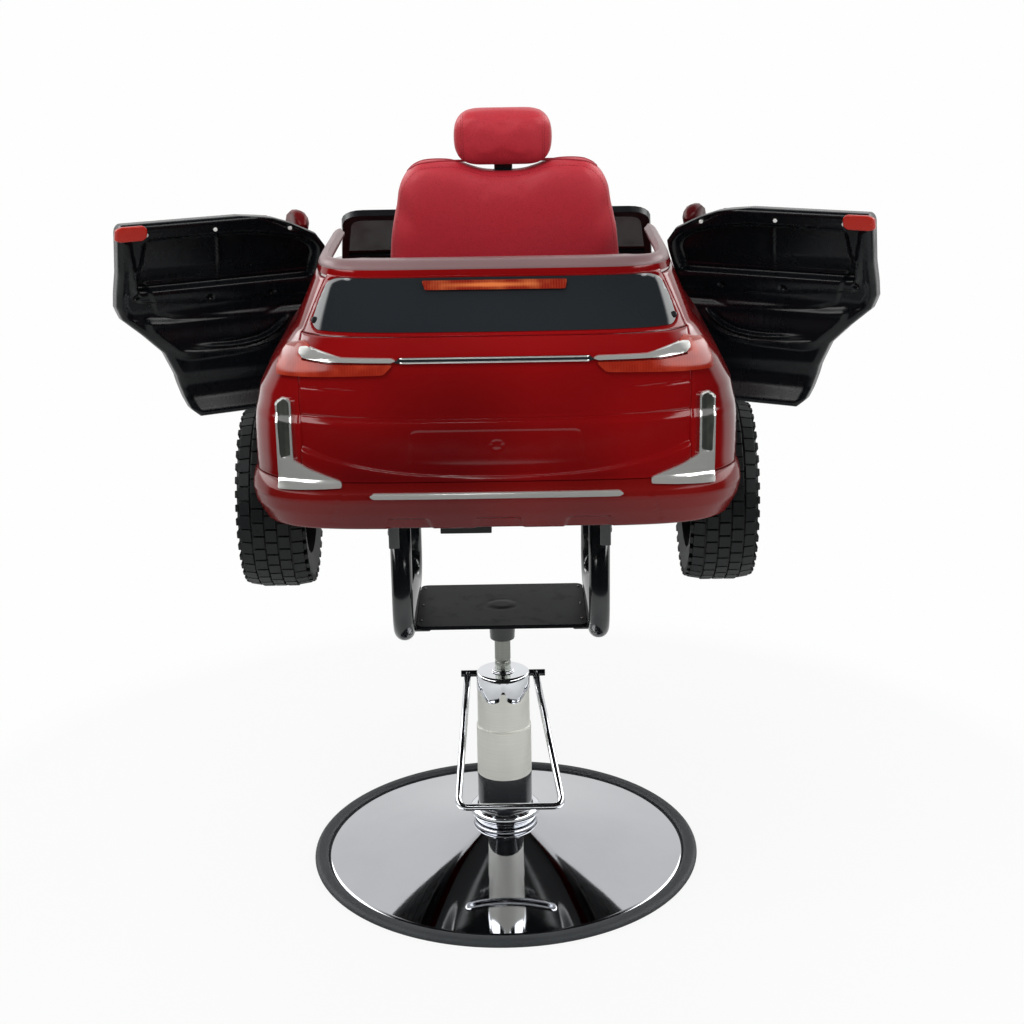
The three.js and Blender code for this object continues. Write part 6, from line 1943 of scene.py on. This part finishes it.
        pane = inside(self.window, 14.0)
        depth = -17.0 * eased((pane + 1.0) / 9.0)
        depth += 2.0 * eased((pane - 6) / 4) * np.exp(-((s - mix(181, 171, (1034 - z) / 85)) / 1.6) ** 2)
        depth += 3.0 * eased((inside(self.sill, 6.0) + 3) / 6) * np.cos(np.clip((z - 934) / 16, -1, 1) * 1.3)
        for hole_s, hole_z in self.holes + ((307, 941),):
            depth -= 7.0 * eased((4.6 - np.hypot(s - hole_s, z - hole_z)) / 1.4)
        bar = off(self.bar_line, 0)
        depth += 13.0 * eased((5.5 - bar) / 2.6) * eased((pane + 4) / 10) + 2.5 * eased((5.5 - bar) / 2.6)
        above = polygon_distance(s, z, list(self.arm_line) + [(14, 960), (290, 960)])
        depth -= 3.2 * eased((-above + 0.5) / 4.0) * eased((z - 858) / 30.0) * eased((s - 8) / 8)
        depth -= np.exp(-(off(self.arm_line, 14) / 1.3) ** 2)
        depth += 7.0 * eased((inside(self.bulge, 22.0) + 4) / 14.0)
        pull = off(self.pull_line, 18)
        depth += 5.5 * np.exp(-(pull / 3.0) ** 2) * eased((s - 50) / 16) * eased((236 - s) / 70)
        hollow = np.exp(-(np.maximum(pull - 5, 0) / 4.0) ** 2) * eased((pull - 1.5) / 3.0)
        depth -= 4.0 * hollow * eased((s - 60) / 20) * eased((200 - s) / 60)
        depth += 2.4 * np.exp(-(off(self.fold_line, 14) / 1.8) ** 2)
        step = z - np.interp(s, (66, 96, 121, 300), (1032, 1047, 1055, 1056))
        depth -= 2.4 * eased((step + 1.0) / 2.0) * eased((318 - s) / 12)
        return depth

    def lining(self) -> Piece:
        """The moulded lining, with a wide rolled rim along its trailing edge."""
        s, z, rim = self.mapped(0.2, 2.0)
        face = self.depth + self.lift(s, z) * eased((rim - 4) / 14.0) - rolled(rim, 11.0)
        face = np.maximum(face, self.skin + 6.0)
        return panel(f"door_lining_{self.side.word}", self.at(s, z, face), self.at(s, z, self.skin - 0.6 + 0 * s))

    def screw_caps(self) -> Piece:
        """The three pale screw heads in the lining's top band."""
        heads = []
        for s, z in self.screws:
            head = turned_bar("screw", [(0, -4), (3.1, -4), (3.1, 0.8), (2.3, 1.4), (0, 1.6)], 0.4, 3, 18)
            spot = self.at(np.array(float(s)), np.array(float(z)), self.depth - 1.0)
            heads.append(moved(head, spot, Matrix.Rotation(-self.side.value * pi / 2, 4, "Y")))
        return joined(f"door_screws_{self.side.word}", heads)


# ---- wheels ----
@dataclass
class Wheel:
    """One moulded wheel with rows of staggered tread blocks."""

    side: Side
    node: str
    y: float
    x: float = 302.0
    z: float = 726.0
    radius: float = 125.0
    half: float = 45.0
    width: float = 96.0
    blocks: int = 40
    rows: int = 5

    def build(self) -> None:
        """Makes the wheel and its tread."""
        finished(self.core(), TYRE_PLASTIC, self.node)
        added(self.tread(), TYRE_PLASTIC, self.node)

    @property
    def middle(self) -> tuple[float, float, float]:
        """The wheel's middle in the shared frame."""
        return self.side.value * self.x, self.y - CAR_MID, self.z

    def core(self) -> Piece:
        """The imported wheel, drawn in a little so that the tread stands on it."""
        wheel = applied(copied_solid(f"moulded_{self.node}", self.node, 1.6, 3))
        middle = Vector(self.middle) * MM
        shrink = Matrix.Diagonal((2 * self.half / self.width, *[1 - 2.4 / self.radius] * 2, 1.0))
        wheel.data.transform(Matrix.Translation(middle) @ shrink @ Matrix.Translation(-middle))
        return wheel

    def tread(self) -> Piece:
        """Rows of staggered blocks round the tyre and lugs on its shoulders."""
        width = 2 * self.half / (self.rows + 0.4)
        pitch = 2 * pi * self.radius / self.blocks
        pieces = []
        for row in range(self.rows):
            place = (row - (self.rows - 1) / 2) * width
            edge = abs(place) > self.half * 0.6
            size = (width - 1.8, pitch - 2.2, 7.0)
            radius = self.radius - 3.5 - (2.6 if edge else 0.0)
            pieces.append(self.ring(f"row_{row}", radius, self.blocks, size, place, (row % 2) * pi / self.blocks,
                    (0.16 if place > 0 else -0.16) if edge else 0.0))
        for sign in (-1, 1):
            size = (5.0, pitch * 0.5, 20.0)
            pieces.append(self.ring("shoulder", self.radius - 15.0, self.blocks, size, sign * (self.half - 3.0), 0.0,
                    sign * 0.16))
        turn = Matrix.Rotation(pi if self.side is Side.LEFT else 0.0, 4, "Z")
        return moved(joined(f"tread_{self.node}", pieces), self.middle, turn)

    def ring(self, name: str, radius: float, count: int, size: Sequence[float], place: float, start: float,
            lean: float) -> Piece:
        """One ring of blocks about the X axis, its edges rolled."""
        values = {"Radius": radius * MM, "Count": count, "Block": tuple(v * MM for v in size), "Place": place * MM,
                "Start": start, "Lean": lean, "Material": TYRE_PLASTIC.material()}
        blocks = ring_repeat().run(name, bpy.data.meshes.new(name), values)
        return applied(bevelled(blocks, 0.8, 2))


# ---- front and inside ----
@dataclass
class Front:
    """The nose of the car, its fascia, its screen and its axles."""

    def build(self) -> None:
        """Dresses the front's pieces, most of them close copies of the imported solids."""
        kept("nose_body", "front_body", RED_SHELL, 2.0, 3, 24)
        kept("nose_fascia", "front_fascia", BLACK_PLASTIC, 1.2)
        finished(self.widened(copied_solid("screen_surround", "windshield_frame", 1.6, 3)), BLACK_PLASTIC,
                "windshield_frame")
        finished(self.widened(copied_solid("screen_pane", "windshield", 0.6)), CLEAR_SCREEN, "windshield")
        for end in ("rear", "front"):
            kept(f"{end}_wheel_shaft", f"{end}_axle", PIN_STEEL, 0.6)

    def widened(self, piece: Piece) -> Piece:
        """Spreads the upper part of the screen to the width seen over the tail."""
        for vertex in piece.data.vertices:
            vertex.co.x *= 1 + 0.07 * float(eased((vertex.co.z / MM - 960.0) / 80.0))
        return piece


@dataclass
class Interior:
    """The floor tub, the battery box, the dashboard and the steering wheel."""

    hub_x: float = -85.0
    hub_y: float = 196.0
    hub_z: float = 958.0
    tilt: float = 28.0
    rim: float = 72.0
    tube: float = 8.0

    def build(self) -> None:
        """Dresses the inside."""
        tub = copied_solid("tub", "floor_tub", 1.6, 3)
        # the tub's underside rises a little behind the seat, and the battery box is drawn up under it
        for vertex in tub.data.vertices:
            low = 1 - float(eased((vertex.co.z / MM - 650.0) / 60.0))
            vertex.co.z += 17.0 * MM * low * float(eased((-170.0 - vertex.co.y / MM) / 70.0))
        finished(tub, TUB_PLASTIC, "floor_tub")
        box = copied_solid("battery_cover", "battery_box", 1.4, 3)
        for vertex in box.data.vertices:
            vertex.co.z += 0.2 * max(0.0, 0.65 - vertex.co.z)
        finished(box, BLACK_PLASTIC, "battery_box")
        kept("dash", "dashboard", BLACK_PLASTIC, 2.4, 4)
        finished(self.steering_wheel(), BLACK_PLASTIC, "steering_wheel")
        kept("horn_cap", "horn_button", RED_PLASTIC, 0.8, 3)

    def on_wheel(self, rows: Rows) -> Rows:
        """Turns across, up and along the steering axis into points."""
        angle = radians(self.tilt)
        axis = np.array([0.0, -cos(angle), sin(angle)])
        up = np.array([0.0, sin(angle), cos(angle)])
        hub = np.array([self.hub_x, self.hub_y - CAR_MID, self.hub_z])
        return hub + rows[:, :1] * np.array([1.0, 0, 0]) + rows[:, 1:2] * up + rows[:, 2:] * axis

    def steering_wheel(self) -> Piece:
        """The rim, three spokes and the hub."""
        turns = np.linspace(0, 2 * pi, 72, endpoint=False)
        line = np.column_stack([self.rim * np.cos(turns), self.rim * np.sin(turns), np.full(72, 14.0)])
        pieces = [sweep("steering_rim", self.on_wheel(line), circle(self.tube, 20), up=(0, -1, 0.5), closed=True),
                copied_solid("steering_core", "steering_wheel", 1.2)]
        return joined("steering", pieces)


def main() -> None:
    """Builds the chair from the floor up."""
    logging.basicConfig(level=logging.INFO, format="%(message)s")
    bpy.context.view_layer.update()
    bpy.context.scene.view_settings.view_transform = "Standard"
    Studio().build()
    for group in (PumpBase(), PumpPedal(), Ram(), Carrier(), Seat(), Tail(), Door(Side.LEFT), Door(Side.RIGHT),
            Front(), Interior()):
        group.build()
    for side in Side:
        for end, y in (("rear", -300.0), ("front", 392.0)):
            Wheel(side, f"wheel_{end}_{side.word}", y).build()


if __name__ == "__main__":
    main()
